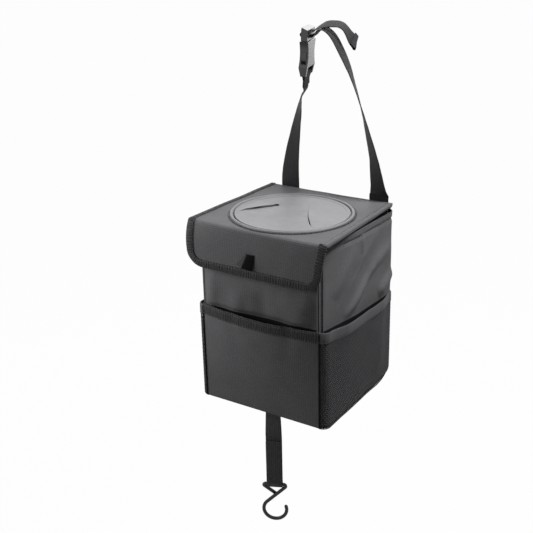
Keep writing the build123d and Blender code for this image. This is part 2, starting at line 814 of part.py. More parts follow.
tail_route = [
    ((-16.5, 5.7, 11.6), (-0.36, 0.92, -0.1)),
    ((-9, 7.6, 13), (-0.42, 0.9, -0.08)),
    ((-1.1, 9.4, 12.4), (-0.37, 0.93, -0.06)),
    ((5.7, 10.4, 10.9), (-0.25, 0.97, -0.03)),
    ((11.4, 10.8, 7.1), (-0.16, 0.98, -0.05)),
    ((16.2, 10.6, -0.2), (-0.08, 0.98, -0.14)),
    ((19.2, 10.2, -5), (-0.1, 0.99, 0)),
    ((22.8, 9.8, -9.2), (-0.18, 0.96, 0.18)),
]
right_route = (
    rising_route
    + [at_plug(lower_slot_y, exit_reach)]
    + ladder_turn
    + [at_plug(upper_slot_y, exit_reach)]
    + tail_route
)
with BuildPart() as right_strap:
    loft(webbing_sections(right_route, webbing), ruled=True)
right_strap.part.label = "right_strap"
export_step(right_strap.part, "parts/right_strap.step")

# Bottom strap: sewn under the bottom panel, turns down, twists and is doubled round the hook's bar
strap_drop_y = front_y + bottom_strap_from_front
hook_z = floor_z - hook_drop
hook_angle = math.radians(hook_turn)
hook_across = Vector(math.cos(hook_angle), math.sin(hook_angle), 0)
hook_face = Vector(math.sin(hook_angle), -math.cos(hook_angle), 0)
bend_outer = strap_bend + webbing_thickness
bottom_route = [
    ((0, strap_drop_y, floor_z - bend_outer), (1, 0, 0)),
    ((0, strap_drop_y, floor_z - bend_outer - 12), heading(hook_turn * 0.2)),
    ((0, strap_drop_y, floor_z - bend_outer - 30), heading(hook_turn * 0.65)),
    ((0, strap_drop_y, hook_z + doubled_length + 8), heading(hook_turn * 0.97)),
    ((0, strap_drop_y, hook_z + doubled_length), heading(hook_turn)),
]
bend_centre = (strap_drop_y + webbing_thickness / 2 + strap_bend, floor_z - bend_outer)
hook_loop_plane = Plane(origin=(0, strap_drop_y, hook_z), x_dir=hook_face, z_dir=hook_across)
with BuildPart() as bottom_strap:
    with BuildSketch(Plane.YZ):
        with BuildLine():
            Line((bend_centre[0], floor_z), (bend_centre[0] + bottom_strap_seat, floor_z))
            Line(
                (bend_centre[0] + bottom_strap_seat, floor_z),
                (bend_centre[0] + bottom_strap_seat, floor_z - webbing_thickness),
            )
            Line(
                (bend_centre[0] + bottom_strap_seat, floor_z - webbing_thickness),
                (bend_centre[0], floor_z - webbing_thickness),
            )
            inner_bend = CenterArc(bend_centre, strap_bend, 90, 90)
            Line(inner_bend @ 1, (bend_centre[0] - bend_outer, bend_centre[1]))
            CenterArc(bend_centre, bend_outer, 180, -90)
        make_face()
    extrude(amount=bottom_webbing / 2, both=True)
    loft(webbing_sections(bottom_route, bottom_webbing), ruled=True)
    extrude(
        web_loop(hook_loop_plane, wire / 2 + wire_clearance, doubled_length),
        amount=bottom_webbing / 2,
        both=True,
    )
bottom_strap.part.label = "bottom_strap"
export_step(bottom_strap.part, "parts/bottom_strap.step")

# Hook: one bent wire, from the end tucked behind the eye to the tip of the bowl
reach = math.hypot(eye_half_width, bowl_drop)
leg_angle = math.atan2(-bowl_drop, -eye_half_width) - math.asin(bowl_radius / reach)
leg = math.sqrt(reach**2 - bowl_radius**2)
leg_end = (eye_half_width + leg * math.cos(leg_angle), leg * math.sin(leg_angle))
bowl_start = math.degrees(math.atan2(leg_end[1] + bowl_drop, leg_end[0]))
tip_angle = math.degrees(math.asin(tip_above_bowl / bowl_radius)) + 360
crossing = eye_half_width / math.cos(leg_angle + math.pi)
wire_end = (
    -eye_half_width + crossing * math.cos(leg_angle + math.pi),
    -crossing * math.sin(leg_angle + math.pi),
    -wire - body_gap,
)
hook_plane = Plane(origin=(0, strap_drop_y, hook_z), x_dir=hook_across, z_dir=hook_face)
with BuildPart() as s_hook:
    with BuildLine(hook_plane) as hook_wire:
        FilletPolyline(
            wire_end,
            (-eye_half_width, 0),
            (eye_half_width, 0),
            leg_end,
            radius=eye_corner,
        )
        bowl = CenterArc((0, -bowl_drop), bowl_radius, bowl_start, tip_angle - bowl_start)
    with BuildSketch(Plane(origin=hook_wire.line @ 0, z_dir=hook_wire.line % 0)):
        Circle(wire / 2)
    sweep(path=hook_wire.line)
    with Locations(bowl @ 1):
        Sphere(wire / 2)
s_hook.part.label = "s_hook"
export_step(s_hook.part, "parts/s_hook.step")
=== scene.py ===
import json
import math
from functools import partial

import bmesh
import bpy
import numpy as np
from mathutils import Matrix, Vector, noise
from mathutils.geometry import delaunay_2d_cdt


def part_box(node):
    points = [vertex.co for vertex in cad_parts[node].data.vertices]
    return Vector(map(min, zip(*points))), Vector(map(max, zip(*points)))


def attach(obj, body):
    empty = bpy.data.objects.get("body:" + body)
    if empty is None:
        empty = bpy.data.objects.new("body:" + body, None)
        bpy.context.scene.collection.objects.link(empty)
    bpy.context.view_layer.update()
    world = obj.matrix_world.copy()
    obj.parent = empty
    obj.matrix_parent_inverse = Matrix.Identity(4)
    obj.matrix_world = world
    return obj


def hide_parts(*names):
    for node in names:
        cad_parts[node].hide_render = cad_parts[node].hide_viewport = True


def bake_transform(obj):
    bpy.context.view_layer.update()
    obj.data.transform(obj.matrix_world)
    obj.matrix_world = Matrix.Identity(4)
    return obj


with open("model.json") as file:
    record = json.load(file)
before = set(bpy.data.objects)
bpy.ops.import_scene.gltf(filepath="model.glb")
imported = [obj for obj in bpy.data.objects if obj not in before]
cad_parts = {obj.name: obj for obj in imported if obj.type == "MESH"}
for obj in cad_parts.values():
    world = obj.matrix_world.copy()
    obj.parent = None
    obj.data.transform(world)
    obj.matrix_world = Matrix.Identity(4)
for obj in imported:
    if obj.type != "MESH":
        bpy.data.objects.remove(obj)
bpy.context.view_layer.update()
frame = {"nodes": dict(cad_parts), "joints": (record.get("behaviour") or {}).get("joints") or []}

bl_info = {
    "name": "Car trash bin",
    "version": (1, 0, 0),
    "blender": (4, 5, 0),
    "location": "View3D > Sidebar > Trash bin",
    "description": "Dresses the frame of a hanging car trash bin in cloth, tape, net, webbing and rubber",
    "category": "Object",
}

MM = 0.001

# Sizes read from the frame, in metres
FRONT_LOW, FRONT_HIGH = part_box("front_panel")
FRONT_Y, SEAM_X, RIM_Z = FRONT_LOW.y, FRONT_HIGH.x, FRONT_HIGH.z
BACK_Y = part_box("back_panel")[1].y
HALF_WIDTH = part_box("right_panel")[1].x
CORNER = HALF_WIDTH - SEAM_X
FLOOR_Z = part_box("bottom_panel")[0].z
LINER_LOW, LINER_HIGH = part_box("liner")
LID_LOW, LID_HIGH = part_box("lid_panel")
LID_TOP_Z, FOLD_Y = LID_HIGH.z, LID_LOW.y
LID_DEPTH = LID_HIGH.y - FOLD_Y
LID_FRONT_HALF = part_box("lid_binding")[1].x
DISC_LOW, DISC_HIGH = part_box("membrane")
DISC_RADIUS = (DISC_HIGH.x - DISC_LOW.x) / 2
DISC_Y = (DISC_HIGH.y + DISC_LOW.y) / 2
DISC_TOP_Z = DISC_LOW.z + 1.2 * MM
POCKET_TOP_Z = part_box("front_pocket")[1].z
HEM_LOW, HEM_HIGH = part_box("right_mesh_hem")
NET_TOP_Z = HEM_HIGH.z
JOINT = {joint["name"]: joint for joint in frame["joints"]}
HOOK_BAR = Vector(JOINT["hook_swing"]["pos_m"])
HOOK_ACROSS = Vector(JOINT["hook_swing"]["axis"])


def hex_linear(code):
    """Linear RGBA of an sRGB hex colour."""
    parts = [int(code[place:place + 2], 16) / 255 for place in (1, 3, 5)]
    linear = [part / 12.92 if part <= 0.04045 else ((part + 0.055) / 1.055) ** 2.4 for part in parts]
    return (*linear, 1.0)


def colour_property(name, description, code):
    """Colour setting whose default is an sRGB hex value."""
    return bpy.props.FloatVectorProperty(
        name=name, description=description, subtype="COLOR", size=4, min=0, max=1, default=hex_linear(code)
    )


def length_property(name, description, millimetres):
    """Length setting given in millimetres and kept in metres."""
    return bpy.props.FloatProperty(
        name=name, description=description, default=millimetres * MM, min=0, unit="LENGTH", precision=5
    )


def power_property(name, description, watts):
    """Power setting of a lamp."""
    return bpy.props.FloatProperty(name=name, description=description, default=watts, unit="POWER")


class TrashBinCloth(bpy.types.PropertyGroup):
    """Sizes and colours of the sewn cloth and its tapes."""

    colour: colour_property("Cloth", "Colour of the oxford cloth", "#6c6c6e")
    tape_colour: colour_property("Tape", "Colour of the edge tape", "#323234")
    thread_colour: colour_property("Thread", "Colour of the sewing thread", "#202022")
    liner_colour: colour_property("Liner", "Colour of the waterproof inner bag", "#8b8c90")
    board_colour: colour_property("Board", "Colour of the stiffening boards", "#6a6660")
    thickness: length_property("Cloth thickness", "Thickness of one layer of cloth", 0.8)
    tape_width: length_property("Tape width", "Width of the edge tape on one face", 9.5)
    tape_thickness: length_property("Tape thickness", "Thickness of the edge tape", 0.8)
    stitch_pitch: length_property("Stitch pitch", "Distance from one stitch to the next", 3.6)
    mesh_step: length_property("Mesh step", "Distance between points of the cut cloth", 2.4)


class TrashBinNet(bpy.types.PropertyGroup):
    """Sizes and colour of the net pockets."""

    colour: colour_property("Net", "Colour of the knitted net", "#48484a")
    cell: length_property("Cell", "Distance between the holes of the net", 2.9)
    strand: length_property("Strand", "Width of one strand", 1.0)
    bulge: length_property("Bulge", "How far the pocket mouth stands off the wall", 6.5)


class TrashBinWebbing(bpy.types.PropertyGroup):
    """Sizes and colours of the straps, the buckle and the hook."""

    colour: colour_property("Webbing", "Colour of the hanging straps", "#303032")
    # Painted light: the strap under the bin takes a lighter copy of the webbing colour, for the light that
    # falls on it there
    bottom_painted_light_colour: colour_property("Bottom webbing", "Colour of the strap under the bin", "#5e5e60")
    buckle_colour: colour_property("Buckle", "Colour of the buckle", "#1c1c1e")
    wire_colour: colour_property("Wire", "Colour of the dipped wire", "#08080a")
    thickness: length_property("Webbing thickness", "Thickness of the webbing", 1.4)
    hang_width: length_property("Hanging strap", "Width of the two hanging straps", 25)
    bottom_width: length_property("Bottom strap", "Width of the strap under the bin", 20)


class TrashBinRubber(bpy.types.PropertyGroup):
    """Sizes and colour of the slit membrane."""

    colour: colour_property("Rubber", "Colour of the membrane", "#636366")
    sag: length_property("Sag", "How far the middle of the membrane sags", 2.0)
    gape: length_property("Gape", "Half the gap at the widest part of the open slit", 1.3)


class TrashBinStage(bpy.types.PropertyGroup):
    """Light and floor."""

    floor_colour: colour_property("Floor", "Colour of the floor", "#c4c4c4")
    floor_drop: length_property("Floor drop", "Height of the hook above the floor", 420)
    key_power: power_property("Back light", "Power of the soft light behind", 16)
    side_power: power_property("Side light", "Power of the soft light on the right; the left has less", 20)


class TrashBinSettings(bpy.types.PropertyGroup):
    """All the settings of the bin."""

    cloth: bpy.props.PointerProperty(type=TrashBinCloth)
    net: bpy.props.PointerProperty(type=TrashBinNet)
    webbing: bpy.props.PointerProperty(type=TrashBinWebbing)
    rubber: bpy.props.PointerProperty(type=TrashBinRubber)
    stage: bpy.props.PointerProperty(type=TrashBinStage)


# Materials: a source is a pair of a node and the name or number of its output


def connect(tree, node, links):
    """Links sockets of a node to their sources."""
    for key, (source, output) in links.items():
        tree.links.new(source.outputs[output], node.inputs[key])


def add_node(tree, kind, settings, links=None):
    """Adds a shader node, sets its properties and sockets, and links sockets to their sources."""
    made = tree.nodes.new(kind)
    for key, value in settings.items():
        if isinstance(key, int) or key in made.inputs:
            made.inputs[key].default_value = value
        else:
            setattr(made, key, value)
    connect(tree, made, links or {})
    return made


def start_material(name, settings):
    """New material whose Principled shader has these sockets set; returns its tree and shader."""
    material = bpy.data.materials.new(name)
    material.use_nodes = True
    tree = material.node_tree
    tree.nodes.clear()
    shader = add_node(tree, "ShaderNodeBsdfPrincipled", settings)
    add_node(tree, "ShaderNodeOutputMaterial", {}, {"Surface": (shader, "BSDF")})
    return tree, shader


def start_fabric(name, rough, ior, shine, sheen, sheen_rough):
    """The same for a fabric; returns the source of its pattern coordinates as well."""
    tree, shader = start_material(name, {
        "Roughness": rough, "IOR": ior, "Specular IOR Level": shine, "Sheen Weight": sheen,
        "Sheen Roughness": sheen_rough,
    })
    return tree, shader, (add_node(tree, "ShaderNodeUVMap", {"uv_map": "cloth"}), "UV")


def bands(tree, place, direction, pitch_mm, settings):
    """Bands across one direction that repeat after this many millimetres."""
    scale = math.pi / 10 / (pitch_mm * MM)
    return add_node(
        tree, "ShaderNodeTexWave",
        {"wave_type": "BANDS", "bands_direction": direction, "Scale": scale, **settings}, {"Vector": place},
    )


def spots(tree, place, size_mm, detail):
    """Noise with spots of about this many millimetres."""
    settings = {"Scale": 1 / (size_mm * MM), "Detail": detail}
    return add_node(tree, "ShaderNodeTexNoise", settings, {"Vector": place}), "Fac"


def weave_height(tree, place, warp_mm, weft_mm):
    """Height of a plain weave: crossing bands multiplied into a basket of small pillows."""
    warp, weft = (
        bands(tree, place, direction, pitch, {"wave_profile": "SIN", "Distortion": 0.0})
        for direction, pitch in (("X", warp_mm), ("Y", weft_mm))
    )
    links = {0: (warp, "Fac"), 1: (weft, "Fac")}
    return add_node(tree, "ShaderNodeMath", {"operation": "MULTIPLY"}, links), "Value"


def tint(tree, place, colour, low, high, size_mm, detail=3.0):
    """Colour that varies between two brightness factors in soft spots of the given size."""
    dark, light = ([*[min(1.0, part * factor) for part in colour[:3]], 1.0] for factor in (low, high))
    settings = {"data_type": "RGBA", 6: dark, 7: light}
    return add_node(tree, "ShaderNodeMix", settings, {0: spots(tree, place, size_mm, detail)}), 2


def multiply(tree, share, colour, factor):
    """Colour multiplied by a factor, in part."""
    settings = {"data_type": "RGBA", "blend_type": "MULTIPLY", 0: share}
    return add_node(tree, "ShaderNodeMix", settings, {6: colour, 7: factor}), 2


def ranged(tree, value, low, high):
    """Value from 0 to 1 brought into a range."""
    return add_node(tree, "ShaderNodeMapRange", {"To Min": low, "To Max": high}, {"Value": value}), "Result"


def bump(tree, height, strength, depth_mm):
    """Normal of a surface with this height pattern."""
    settings = {"Strength": strength, "Distance": depth_mm * MM}
    return add_node(tree, "ShaderNodeBump", settings, {"Height": height}), "Normal"


def oxford_cloth(colour):
    """Polyester oxford, plain woven and coated inside: matt, with a fine grid and hardly any sheen."""
    tree, shader, place = start_fabric(
        "polyester_oxford_woven", rough=0.5, ior=1.5, shine=0.01, sheen=0.02, sheen_rough=0.35
    )
    # Real yarns are about 0.5 mm apart; the grid is drawn at 2.3 mm so that it shows
    weave = weave_height(tree, place, warp_mm=2.3, weft_mm=2.3)
    clouds = tint(tree, place, colour, low=0.84, high=1.16, size_mm=34)
    slubs = tint(tree, place, (1, 1, 1), low=0.7, high=1.0, size_mm=3.2, detail=5.0)
    connect(tree, shader, {
        "Base Color": multiply(tree, 0.3, multiply(tree, 0.8, clouds, slubs), weave),
        "Roughness": ranged(tree, weave, 0.44, 0.6),
        "Normal": bump(tree, weave, strength=0.6, depth_mm=0.3),
    })


def ribbed_tape(colour):
    """Polyester grosgrain, woven with ribs across its length: dull, with a painted highlight on each rib and
    painted shade between the ribs in its colour.
    """
    tree, shader, place = start_fabric(
        "polyester_grosgrain_woven", rough=0.62, ior=1.5, shine=0.15, sheen=0.15, sheen_rough=0.3
    )
    # Real ribs are about 0.8 mm apart; drawn at 2.7 mm and uneven, as the puckered tape shows them
    ribs = bands(tree, place, "X", 2.7, {"Distortion": 7.0, "Detail": 2.0, "Detail Scale": 1.2})
    shade = tint(tree, place, colour, low=0.75, high=1.3, size_mm=3)
    connect(tree, shader, {
        # Painted highlight and shade: the rib bands lighten the ribs and darken the valleys in the base
        # colour
        "Base Color": multiply(tree, 0.85, shade, (ribs, "Color")),
        "Normal": bump(tree, (ribs, "Fac"), strength=0.7, depth_mm=0.3),
    })


def flat_webbing(name, colour):
    """Flat woven webbing: slightly shiny filaments in short steps."""
    tree, shader, place = start_fabric(
        name, rough=0.65, ior=1.49, shine=0.08, sheen=0.05, sheen_rough=0.3
    )
    # Real picks are about 0.9 mm apart; drawn at 1.6 mm so that they show
    weave = weave_height(tree, place, warp_mm=1.6, weft_mm=2.4)
    shade = tint(tree, place, colour, low=0.8, high=1.25, size_mm=5)
    connect(tree, shader, {
        "Base Color": multiply(tree, 0.45, shade, weave),
        "Normal": bump(tree, weave, strength=0.35, depth_mm=0.3),
    })


def plain_finish(name, colour, rough, spot_mm, bump_mm, extra):
    """Moulded, dipped or pressed surface: even colour with fine mottling and a slight texture of its own."""
    tree, shader = start_material(name, {"Roughness": rough, "IOR": 1.5, **extra})
    place = (add_node(tree, "ShaderNodeTexCoord", {}), "Object")
    grit = spots(tree, place, spot_mm, detail=4.0)
    connect(tree, shader, {
        "Base Color": tint(tree, place, colour, low=0.86, high=1.16, size_mm=8 * spot_mm),
        "Roughness": ranged(tree, grit, rough * 0.85, min(1.0, rough * 1.2)),
        "Normal": bump(tree, grit, strength=0.4, depth_mm=bump_mm),
    })


def finish(name):
    """Material of that name; raises if the finishes weren't made first."""
    return bpy.data.materials[name]


# Geometry


def run_lengths(line):
    """Distance walked to each point of a line."""
    return np.r_[0, np.cumsum(np.linalg.norm(np.diff(line, axis=0), axis=1))]


def read_off(walked, rows, places):
    """Rows of a line read off at these distances along it."""
    return np.column_stack([np.interp(places, walked, column) for column in np.transpose(rows)])


def unit(rows):
    """Rows scaled to a length of 1."""
    return rows / np.linalg.norm(rows, axis=1)[:, None]


def bell(offset, width):
    """Smooth bump of height 1 about zero."""
    return np.exp(-((offset / width) ** 2))


def step_up(values, low, high):
    """Smooth step from 0 at low to 1 at high."""
    share = np.clip((values - low) / (high - low), 0, 1)
    return share * share * (3 - 2 * share)


def soft_noise(coords, size, seed):
    """Smooth noise from about -1 to 1 with waves of about this size."""
    return np.array([noise.noise(Vector((a, b, seed))) for a, b in np.asarray(coords) / size])


class PlanRing:
    """Rounded plan outline, walked anticlockwise from the middle of the front."""

    ARC_STEPS = 8

    def __init__(self, half_width, front, back, corner, floor):
        self.floor = floor
        self.middle = np.array((0.0, (front + back) / 2))
        seam = half_width - corner
        turns = (
            (seam, front + corner, -90), (seam, back - corner, 0),
            (-seam, back - corner, 90), (-seam, front + corner, 180),
        )
        line, normals = [(0.0, front)], [(0.0, -1.0)]
        for x, y, start in turns:
            for step in range(self.ARC_STEPS + 1):
                angle = math.radians(start + 90 * step / self.ARC_STEPS)
                line.append((x + corner * math.cos(angle), y + corner * math.sin(angle)))
                normals.append((math.cos(angle), math.sin(angle)))
        self.line, self.normals = np.array([*line, line[0]]), np.array([*normals, normals[0]])
        self.walked = run_lengths(self.line)
        self.length = self.walked[-1]

    def at(self, along):
        """Points and outward normals at these distances along the outline."""
        along = np.mod(along, self.length)
        return [read_off(self.walked, rows, along) for rows in (self.line, self.normals)]

    def unrolled(self, along):
        """The same distances counted both ways from the middle of the front."""
        along = np.mod(along, self.length)
        return np.where(along > self.length / 2, along - self.length, along)


BOX_RING = PlanRing(HALF_WIDTH, FRONT_Y, BACK_Y, CORNER, FLOOR_Z)
LINER_RING = PlanRing(LINER_HIGH.x, LINER_LOW.y, LINER_HIGH.y, CORNER - 1.2 * MM, LINER_LOW.z)
ARC = math.pi / 2 * CORNER
SIDE_START = SEAM_X + ARC
SIDE_END = SIDE_START + (BACK_Y - FRONT_Y - 2 * CORNER)
BACK_SEAM = SIDE_END + ARC
# The bag has spread a little to the left
LEFT_SPREAD = 2 * MM
# Foot of the walls: its rounding, and how much more the two back corners are gathered, over what reach
FOOT_ROUNDING, FOOT_GATHER, GATHER_REACH = 2.5 * MM, 11 * MM, 16 * MM
# How far below the floor the pattern would run to reach the middle of the bottom
BOTTOM_RUN = 80 * MM
# Front corners above the nets: how far back they are drawn in, and how much of the rounding goes
TUCK_REACH, TUCK_SHARE = 60 * MM, 0.94
# The front panel bulges between the pocket's mouth and these heights
SLACK_TOP_Z, SLACK_FULL_Z = -0.236, -0.268
SLACK_HALF = 58 * MM
# Above these heights the walls billow more
BILLOW_Z, BILLOW_FULL_Z = -0.310, -0.280
# How far below the rim the hem is drawn in by its stitches, and where its stitches lie on the cloth
HEM_DRAWN_DROP, HEM_STITCH_DROP = 9 * MM, 10 * MM
# How far from the corners the nets take to stand off the wall
NET_EASE = 34 * MM
# Height up to which the foot of a bag has closer rows, for its rounding
FOOT_RISE = 16 * MM
# Step over which a surface's normal is measured
PROBE = 0.4 * MM
# Step along a tape
TAPE_STEP = 1.2 * MM


def on_right_wall(y, z):
    """Wall coordinates of a point on the right side."""
    return (SIDE_START + (y - FRONT_Y - CORNER), z)


# Folds: start and end on the wall, half width and height
RIGHT_CREASES = [
    (on_right_wall(*start), on_right_wall(*end), width * MM, height * MM)
    for start, end, width, height in (
        ((-0.119, -0.293), (-0.052, -0.247), 5.5, 3.6), ((-0.068, -0.254), (-0.006, -0.236), 8, 3.4),
        ((-0.040, -0.291), (-0.002, -0.273), 7, 4.4), ((-0.140, -0.262), (-0.096, -0.213), 9, 2.6),
        ((-0.100, -0.238), (-0.040, -0.212), 7, 1.2), ((-0.134, -0.284), (-0.104, -0.236), 4, 0.8),
        ((-0.112, -0.262), (-0.070, -0.226), 4, 0.8), ((-0.082, -0.226), (-0.080, -0.203), 3, 1.6),
    )
]
FRONT_CREASES = (
    ((-0.044, -0.316), (-0.014, -0.254), 14 * MM, 2.4 * MM),
    ((0.036, -0.316), (0.052, -0.256), 13 * MM, 2.2 * MM),
    ((-0.070, -0.306), (-0.066, -0.250), 9 * MM, 1.8 * MM),
)
POCKET_CREASES = (
    ((-0.020, -0.318), (0.010, -0.345), 8 * MM, 0.5 * MM),
    ((0.028, -0.318), (0.004, -0.352), 8 * MM, 0.5 * MM),
)
# Where the slack panel leans on the pocket's mouth, and how wide each such place is
POCKET_TOUCHES = ((-33 * MM, 8 * MM), (40 * MM, 7 * MM))


def crease(coords, start, end, width, height):
    """Ridge of cloth along a line: highest in the middle, dying out at both ends."""
    start, run = np.array(start), np.subtract(end, start)
    held = np.clip(((coords - start) @ run) / (run @ run), 0, 1)
    gap = np.linalg.norm(coords - start - held[:, None] * run, axis=1)
    return height * (1 - np.abs(2 * held - 1) ** 3) * bell(gap, width)


def foot_inset(along, rise):
    """How far the wall curves in at its foot; most at the two back corners, where the bag is gathered."""
    radius = FOOT_ROUNDING + FOOT_GATHER * bell(np.abs(along) - (BACK_SEAM - ARC / 2), GATHER_REACH)
    drop = np.clip(1 - rise / radius, 0, 1)
    return radius * (1 - np.sqrt(1 - drop * drop))


def body_point(coords, out, ring=BOX_RING):
    """Point that stands this far off a rounded box; heights below its floor run in along its bottom."""
    along, z = coords[:, 0], coords[:, 1]
    place, facing = ring.at(along)
    inset = foot_inset(ring.unrolled(along) * BOX_RING.length / ring.length, z - ring.floor)
    # Drawn in towards the middle, so that the gathered corners don't fold over themselves
    place = place + facing * out[:, None] + unit(ring.middle - place) * inset[:, None]
    place[:, 0] -= LEFT_SPREAD * step_up(-place[:, 0], 10 * MM, SEAM_X)
    under = np.clip(ring.floor - z, 0, None)[:, None]
    place = ring.middle + (place - ring.middle) * (1 - under / BOTTOM_RUN)
    return np.column_stack([place, np.maximum(z, ring.floor)])


def rim_height(along):
    """Height of the walls' upper edge, which dips under the lid towards the back corners."""
    places = (SIDE_START + 24 * MM, SIDE_END, BACK_SEAM + 12 * MM)
    return RIM_Z - 1.2 * MM - np.interp(np.abs(along), places, (0, 2.4 * MM, 0.6 * MM))


def corner_tuck(along):
    """How far the front corners are drawn in above the nets, where the side turns straight off the seam."""
    past = np.abs(along) - SEAM_X
    angle = np.clip(past / CORNER, 0, math.pi / 2)
    whole = TUCK_REACH + CORNER
    on_arc = CORNER - CORNER ** 2 / (np.sin(angle) * whole + CORNER * np.cos(angle))
    on_side = CORNER * np.clip(TUCK_REACH - (past - ARC), 0, None) / whole
    return TUCK_SHARE * np.where(past <= 0, 0, np.where(past < ARC, on_arc, on_side))


def wall_surface(coords):
    """Outer face of the bag's walls: creased sides, a calmer front and a stitched hem under the rim."""
    along, z = BOX_RING.unrolled(coords[:, 0]), coords[:, 1]
    flat, other = np.column_stack([along, z]), np.column_stack([-along, z])
    out = np.zeros(len(coords))
    for *fold, height in RIGHT_CREASES:
        out += crease(flat, *fold, height) + crease(other, *fold, 0.8 * height)
    for fold in FRONT_CREASES:
        out += crease(flat, *fold)
    slack = step_up(z, POCKET_TOP_Z + 0.5 * MM, POCKET_TOP_Z + 8 * MM)
    slack *= step_up(-z, -SLACK_TOP_Z, -SLACK_FULL_Z) * step_up(-np.abs(along), -SEAM_X, -SLACK_HALF)
    out += slack * (3.4 * MM + 1.2 * MM * soft_noise(flat * (1, 0.5), size=16 * MM, seed=19.0))
    upper = step_up(z, BILLOW_Z, BILLOW_FULL_Z)
    out += 0.5 * MM * (1 + soft_noise(flat, size=34 * MM, seed=3.0)) * (0.3 + 0.7 * upper)
    # The hem's stitches draw it in, and it puckers above them
    below = rim_height(along) - z
    pucker = soft_noise(flat * (1, 0.6), size=6.5 * MM, seed=9.0)
    out -= bell(below - HEM_DRAWN_DROP, 1.6 * MM) * (1.6 + 1.2 * pucker) * MM
    out += bell(below - 7 * MM, 6 * MM) * 0.6 * MM * pucker
    # Flat at the front seams and the foot
    out *= 1 - 0.85 * bell(np.abs(along) - SEAM_X, 7 * MM)
    out *= step_up(z, FLOOR_Z - 2 * MM, FLOOR_Z + 10 * MM)
    tuck = corner_tuck(along) * step_up(z, NET_TOP_Z - 20 * MM, NET_TOP_Z - 6 * MM)
    return body_point(coords, np.maximum(out, -1.2 * MM) - tuck)


def liner_surface(coords):
    """Outer face of the loose inner bag, drawn in where it has settled into folds."""
    flat = np.column_stack([LINER_RING.unrolled(coords[:, 0]), coords[:, 1]])
    slack = step_up(coords[:, 1], LINER_RING.floor, LINER_RING.floor + 20 * MM)
    slack *= step_up(-coords[:, 1], -RIM_Z + 1 * MM, -RIM_Z + 18 * MM)
    fold = 0.5 + 0.5 * soft_noise(flat * (1, 0.4), size=19 * MM, seed=21.0)
    tuck = corner_tuck(flat[:, 0] * BOX_RING.length / LINER_RING.length)
    return body_point(coords, -0.1 * MM - 1.8 * MM * fold * slack - tuck, LINER_RING)


def pocket_surface(coords):
    """Front pocket: sewn down its sides and foot, standing off the panel towards its slack mouth."""
    x, z = coords[:, 0], coords[:, 1]
    rise = np.clip((z - FLOOR_Z) / (POCKET_TOP_Z - FLOOR_Z), 0, 1.1)
    across = np.clip(1 - (x / SEAM_X) ** 2, 0, 1)
    out = 1.3 * MM + 9.4 * MM * across * rise ** 1.15
    out += across * rise * 0.9 * MM * soft_noise(coords, size=30 * MM, seed=5.0)
    for fold in POCKET_CREASES:
        out += crease(coords, *fold)
    for middle, width in POCKET_TOUCHES:
        out -= 1.2 * MM * bell(x - middle, width) * rise ** 4
    wave = soft_noise(np.column_stack([x, 0 * z]), size=26 * MM, seed=17.0)
    sag = (0.5 * MM * across + 1.0 * MM * (x / SEAM_X) + 0.3 * MM * wave) * rise ** 3
    return body_point(np.column_stack([x, z - sag]), out)


def net_surface(coords):
    """Right net pocket: tight round both corners, standing off the wall between them towards its mouth."""
    along, z = coords[:, 0], coords[:, 1]
    rise = np.clip((z - FLOOR_Z) / (NET_TOP_Z - FLOOR_Z), 0, 1.05)
    between = step_up(along, SIDE_START, SIDE_START + NET_EASE)
    between *= step_up(-along, -SIDE_END, NET_EASE - SIDE_END)
    out = 1.1 * MM + bpy.context.scene.trash_bin.net.bulge * between * rise
    return body_point(coords, out + between * 0.8 * MM * soft_noise(coords, size=32 * MM, seed=7.0))


# Lid and flap: the fold between them, the flap's slant, its sideways lean and its size
FOLD_RADIUS = 3 * MM
FLAP_TILT = math.radians(3.5)
FOLD_TURN = math.pi / 2 - FLAP_TILT
FLAP_LEAN = 3.2 * MM
FLAP_RUN = 51 * MM
FLAP_END = FOLD_RADIUS * FOLD_TURN + FLAP_RUN
FLAP_HALF = 87 * MM
FLAP_CORNER = 20 * MM
LID_SHIFT = -1.7 * MM
HINGE_RADIUS = 2 * MM
# Cloth before the first point follows the lid, and past the second it follows the flap
FOLD_LINE = ((0, FOLD_Y + 2 * MM, LID_TOP_Z), (0, FOLD_Y - 3 * MM, LID_TOP_Z - 4 * MM))
# Pull tab: a short tape pinched into a ridge; its sewn left edge, the ridge and its right edge
TAB_SIZE = np.array((22, 18)) * MM
TAB_TOP = np.array([(-10.8, -171.5, -215.4), (-8.7, -173.8, -215.2), (-0.6, -171.8, -215.3)]) * MM
TAB_FOOT = np.array([(-23.6, -173.2, -230.0), (-12.7, -179.5, -229.7), (-2.6, -173.4, -233.5)]) * MM


def lid_lift(x):
    """How far the lid stands above its level: it sits askew, its left side higher."""
    side = x / LID_FRONT_HALF
    return (-0.4 - 0.9 * side + 0.6 * side ** 2) * MM


